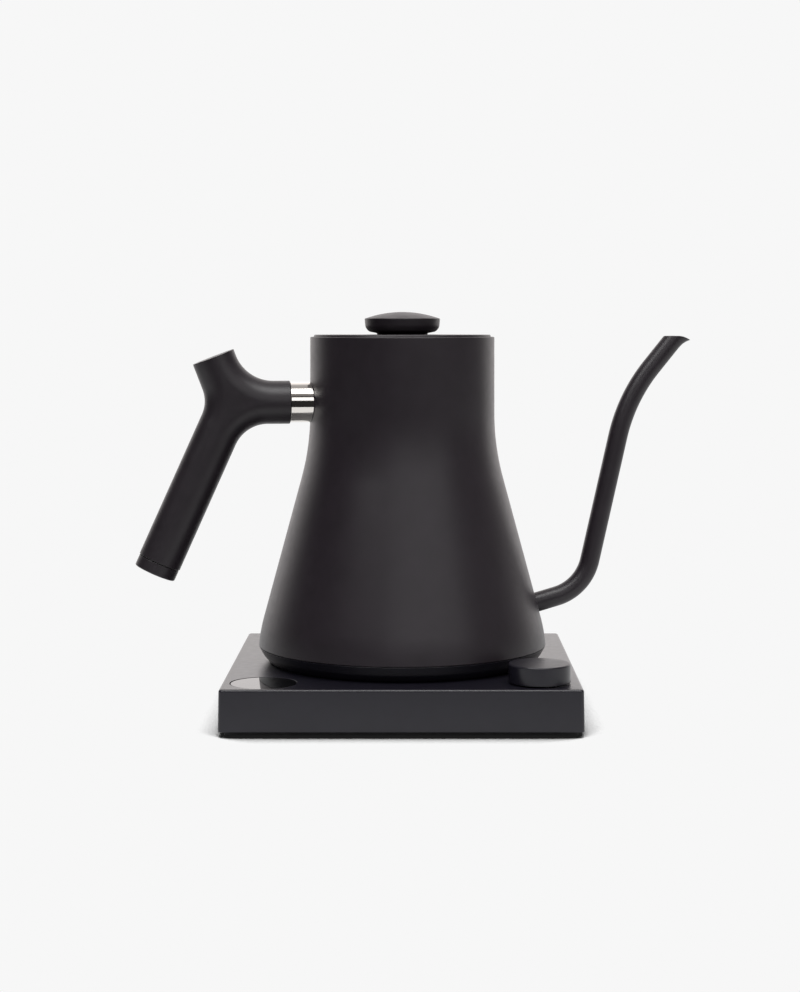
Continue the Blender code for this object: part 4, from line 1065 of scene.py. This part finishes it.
def handle():
    """Three-way handle: half tubes along each side, with flat cheeks where they part."""
    bm = handle_tubes()
    bmesh.ops.remove_doubles(bm, verts=bm.verts, dist=SEAM_WELD)
    bmesh.ops.holes_fill(bm, edges=bm.edges, sides=0)
    made = add_mesh("handle_moulding", bm, "handle_plastic")
    weight_bore = rod("weight_bore", 7.8 * MM, -65 * MM, 10 * MM, "handle_plastic")
    lay_along(weight_bore, CAP_START, GRIP_ANGLE)
    stud_bore = rod("stud_bore", STUD_RADIUS, -23 * MM, 10 * MM, "handle_plastic")
    lay_along(stud_bore, point_along(HANDLE_JOIN, 0, ARM_LENGTH), 0)
    put_on(combine(made, [weight_bore, stud_bore]), "kettle", "handle_grip")


def end_cap():
    """Cap behind a fine shadow gap at the grip's end."""
    outline = [
        (0, 0),
        (7.2 * MM, 0),
        (END_CAP_RADIUS, 0, 0.3 * MM),
        (END_CAP_RADIUS, END_CAP_LENGTH, 0.8 * MM),
        (0, END_CAP_LENGTH),
    ]
    cap = lay_along(turned("grip_end_cap", outline, "handle_plastic"), CAP_START, GRIP_ANGLE)
    put_on(cap, "kettle", "handle_end_cap")


def collar():
    """Bright collar that dies into a fillet on the wall."""
    arm_end = HANDLE_JOIN[0] + ARM_LENGTH
    start = 0.1 * MM
    end = -NECK_RADIUS - arm_end + 4 * MM
    outline = [
        (STUD_RADIUS, start),
        (COLLAR_RADIUS, start, 0.3 * MM),
        (COLLAR_RADIUS, end),
        (STUD_RADIUS, end),
    ]
    made = lay_along(turned("arm_collar", outline, "bright_steel"), (arm_end, HANDLE_JOIN[1]), 0)
    neck = rod("neck", NECK_RADIUS - 0.2 * MM, 130 * MM, 185 * MM, "body_paint", steps=LARGE_STEPS)
    put_on(combine(made, [neck]), "kettle", "handle_collar")
    root = Vector((AXIS_X - NECK_RADIUS, 0, HANDLE_JOIN[1]))
    fillet = fillet_ring("collar_fillet", root, Vector((-1, 0, 0)), COLLAR_RADIUS, 0.35 * MM)
    put_on(fillet, "kettle", "handle_boss")


# ---- lid ----

def lid_disc():
    seat_z = RIM_Z + 0.04 * MM
    outline = [
        (KNOB_SCREW_HOLE, seat_z),
        (LID_RADIUS, seat_z, 0.1 * MM),
        (LID_RADIUS - 0.45 * MM, LID_HIGH_Z, 0.4 * MM),
        (KNOB_SCREW_HOLE, LID_HIGH_Z),
    ]
    put_on(turned("lid_disc", outline, "body_paint", steps=LARGE_STEPS), "lid", "lid_plate")


def lid_cup():
    """Cup with a wall round its edge, a pillar for the screw and a dished underside."""
    low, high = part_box("lid_cup")
    inside = CUP_RADIUS - 1.4 * MM
    pillar = 6.5 * MM
    head_hole = 5.0 * MM
    head_seat = low.z + 3.6 * MM
    floor_z = low.z + 2.0 * MM
    dish = low.z + 0.6 * MM
    outline = [
        (KNOB_SCREW_HOLE, high.z),
        (pillar, high.z),
        (pillar, floor_z, 1.0 * MM),
        (inside, floor_z, 1.0 * MM),
        (inside, high.z),
        (CUP_RADIUS, high.z),
        (CUP_RADIUS, low.z, 2.2 * MM),
        (30.0 * MM, low.z, 0.3 * MM),
        (29.4 * MM, dish, 0.3 * MM),
        (9.0 * MM, dish, 0.3 * MM),
        (8.4 * MM, low.z, 0.3 * MM),
        (head_hole, low.z, 0.3 * MM),
        (head_hole, head_seat),
        (KNOB_SCREW_HOLE, head_seat),
    ]
    put_on(turned("lid_cup_fine", outline, "inner_plastic", steps=LARGE_STEPS), "lid", "lid_cup")


def lid_seal():
    """Seal with two soft lips that wipe the inside of the neck."""
    low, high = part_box("lid_seal")
    inner = CUP_RADIUS + 0.15 * MM
    web = inner + 0.5 * MM
    lip = OPENING_RADIUS - 0.3 * MM
    outline = [
        (inner, low.z),
        (web, low.z, 0.1 * MM),
        (lip, low.z + 1.0 * MM, 0.2 * MM),
        (web, low.z + 1.8 * MM, 0.2 * MM),
        (lip, low.z + 2.8 * MM, 0.2 * MM),
        (web, high.z, 0.2 * MM),
        (inner, high.z),
    ]
    put_on(turned("lid_seal_fine", outline, "silicone", steps=LARGE_STEPS), "lid", "lid_seal")


def knob():
    """Knob with a bowl-shaped underside and a shallow dome."""
    low = LID_HIGH_Z + 0.05 * MM
    hole_end = low + 7.0 * MM
    edge_z = KNOB_EDGE_Z - 0.3 * MM
    outline = [
        (0, hole_end),
        (KNOB_SCREW_HOLE, hole_end),
        (KNOB_SCREW_HOLE, low),
        (KNOB_NECK, low, 0.1 * MM),
        *KNOB_UNDER_CORNERS,
        (KNOB_RADIUS, edge_z),
    ]
    edge = 0.5 * MM
    for degrees in (20, 40, 60, 80):
        turn = math.radians(degrees)
        outline.append((KNOB_RADIUS - edge * (1 - math.cos(turn)), edge_z + edge * math.sin(turn)))
    rise = KNOB_HIGH_Z - KNOB_EDGE_Z
    dome = rise / 2 + KNOB_RADIUS ** 2 / (2 * rise)
    start = outline[-1][0]
    rings = 20
    for index in range(1, rings):
        radius = start * (1 - index / rings)
        outline.append((radius, KNOB_HIGH_Z - dome + math.sqrt(dome ** 2 - radius ** 2)))
    outline.append((0, KNOB_HIGH_Z))
    put_on(turned("lid_pommel", outline, "handle_plastic", steps=LARGE_STEPS), "lid", "lid_knob")


# ---- studio ----

FLOOR_SIZE = (1.7, 1.95, 0.002)
FLOOR_MIDDLE = (0.2, 0.655, -0.001)
BACKDROP_LEVEL = 0.93
FRONT_LEVEL = 0.012
LEFT_LEVEL = 0.03
RIGHT_LEVEL = 0.18
REAR_LEVEL = 1.4
TOP_LEVEL = 0.45
REFLECTED_GREEN = 0.955
REFLECTED_BLUE = 0.945
SHADE_REACH = 0.03
SHADE_SPAN = (0.497, 0.532)
SHADE_LEVEL = 0.012
SOFT_LIGHTS = (
    ("front_box", (0.55, -1.5, 0.75), (2.2, 0.55), 5.5),
    ("top_box", (0.05, -0.47, 1.35), (1.3, 0.66), 14),
    ("left_box", (-0.8, -0.95, 1.2), (0.7, 0.6), 4.5),
)
LIGHT_TARGET = Vector((AXIS_X, 0, 0.1))
CAMERA_PLACE = (AXIS_X + 6.26 * MM, -1.0266, 0.1961)
CAMERA_LENS = 71.64
CAMERA_SHIFT = (-0.0145, -0.1708)


def blend(tree, source, low, high, at_low, at_high):
    """Run smoothly from one value to another as the source passes from low to high."""
    ends = {"From_Min": low, "From_Max": high, "To_Min": at_low, "To_Max": at_high}
    made = add_node(tree, "ShaderNodeMapRange", Value=source, **ends)
    made.interpolation_type = "SMOOTHSTEP"
    return made.outputs["Result"]


def mix(tree, factor, first, second):
    """Return the first value where the factor is 0, and the second where it is 1."""
    return add_node(tree, "ShaderNodeMix", Factor=factor, A=first, B=second).outputs["Result"]


def floor():
    """Pale table that glows in the backdrop's shade of white, with a painted contact shadow that dims its
    glow close under the object.
    """
    bm = box_shape(FLOOR_MIDDLE, FLOOR_SIZE)
    mesh = bpy.data.meshes.new("floor")
    bm.to_mesh(mesh)
    bm.free()
    made = bpy.data.objects.new("floor", mesh)
    bpy.context.scene.collection.objects.link(made)
    material = new_material("pale_floor", (0, 0, 0), 1.0, Specular_IOR_Level=0.0)
    tree = material.node_tree
    # Painted contact shadow: ambient occlusion dims the floor's glow where the object stands close over it.
    nearness = add_node(tree, "ShaderNodeAmbientOcclusion", Distance=SHADE_REACH)
    nearness.samples = 8
    level = blend(tree, nearness.outputs["AO"], *SHADE_SPAN, SHADE_LEVEL, BACKDROP_LEVEL)
    tree.nodes["Principled BSDF"].inputs["Emission Color"].default_value = (1, 1, 1, 1)
    link_to_shader(tree, level, "Emission Strength")
    made.data.materials.append(material)


def studio_world():
    """Bright backdrop behind, a paler ceiling, and a dark room whose sides give a little light."""
    world = bpy.data.worlds.new("studio")
    bpy.context.scene.world = world
    world.use_nodes = True
    tree = world.node_tree
    place = tree.nodes.new("ShaderNodeTexCoord")
    way = add_node(tree, "ShaderNodeSeparateXYZ", Vector=place.outputs["Generated"]).outputs
    left_right = blend(tree, way["X"], -0.6, 0.1, LEFT_LEVEL, FRONT_LEVEL)
    side = mix(tree, blend(tree, way["X"], 0.1, 0.9, 0.0, 1.0), left_right, RIGHT_LEVEL)
    above = mix(tree, blend(tree, way["Z"], 0.45, 0.9, 0.0, 1.0), side, TOP_LEVEL)
    level = mix(tree, blend(tree, way["Y"], 0.3, 0.85, 0.0, 1.0), above, REAR_LEVEL)
    seen = tree.nodes.new("ShaderNodeLightPath").outputs["Is Camera Ray"]
    green = mix(tree, seen, REFLECTED_GREEN, 1.0)
    blue = mix(tree, seen, REFLECTED_BLUE, 1.0)
    tint = add_node(tree, "ShaderNodeCombineColor", Red=1.0, Green=green, Blue=blue)
    background = tree.nodes["Background"].inputs
    tree.links.new(tint.outputs["Color"], background["Color"])
    tree.links.new(mix(tree, seen, level, BACKDROP_LEVEL), background["Strength"])


def soft_light(name, place, size, power):
    data = bpy.data.lights.new(name, "AREA")
    data.shape = "RECTANGLE"
    data.size, data.size_y = size
    data.energy = power
    made = bpy.data.objects.new(name, data)
    made.location = place
    aim = LIGHT_TARGET - Vector(place)
    made.rotation_euler = aim.to_track_quat("-Z", "Y").to_euler()
    bpy.context.scene.collection.objects.link(made)


def camera():
    data = bpy.data.cameras.new("camera")
    data.sensor_width = 36
    data.lens = CAMERA_LENS
    data.shift_x, data.shift_y = CAMERA_SHIFT
    made = bpy.data.objects.new("camera", data)
    made.location = CAMERA_PLACE
    made.rotation_euler = (math.radians(90), 0, 0)
    bpy.context.scene.collection.objects.link(made)
    bpy.context.scene.camera = made


def studio():
    floor()
    studio_world()
    for light in SOFT_LIGHTS:
        soft_light(*light)
    camera()
    bpy.context.scene.view_settings.view_transform = "Standard"


dress_frame_nodes()
studio()
base_cover()
display_window()
dial()
snap_dome()
feet()
screws()
tower()
slide_switch()
gland()
shell()
vessel_floor()
under_cover()
kettle_socket()
probe()
spout()
handle()
end_cap()
collar()
lid_disc()
lid_cup()
lid_seal()
knob()
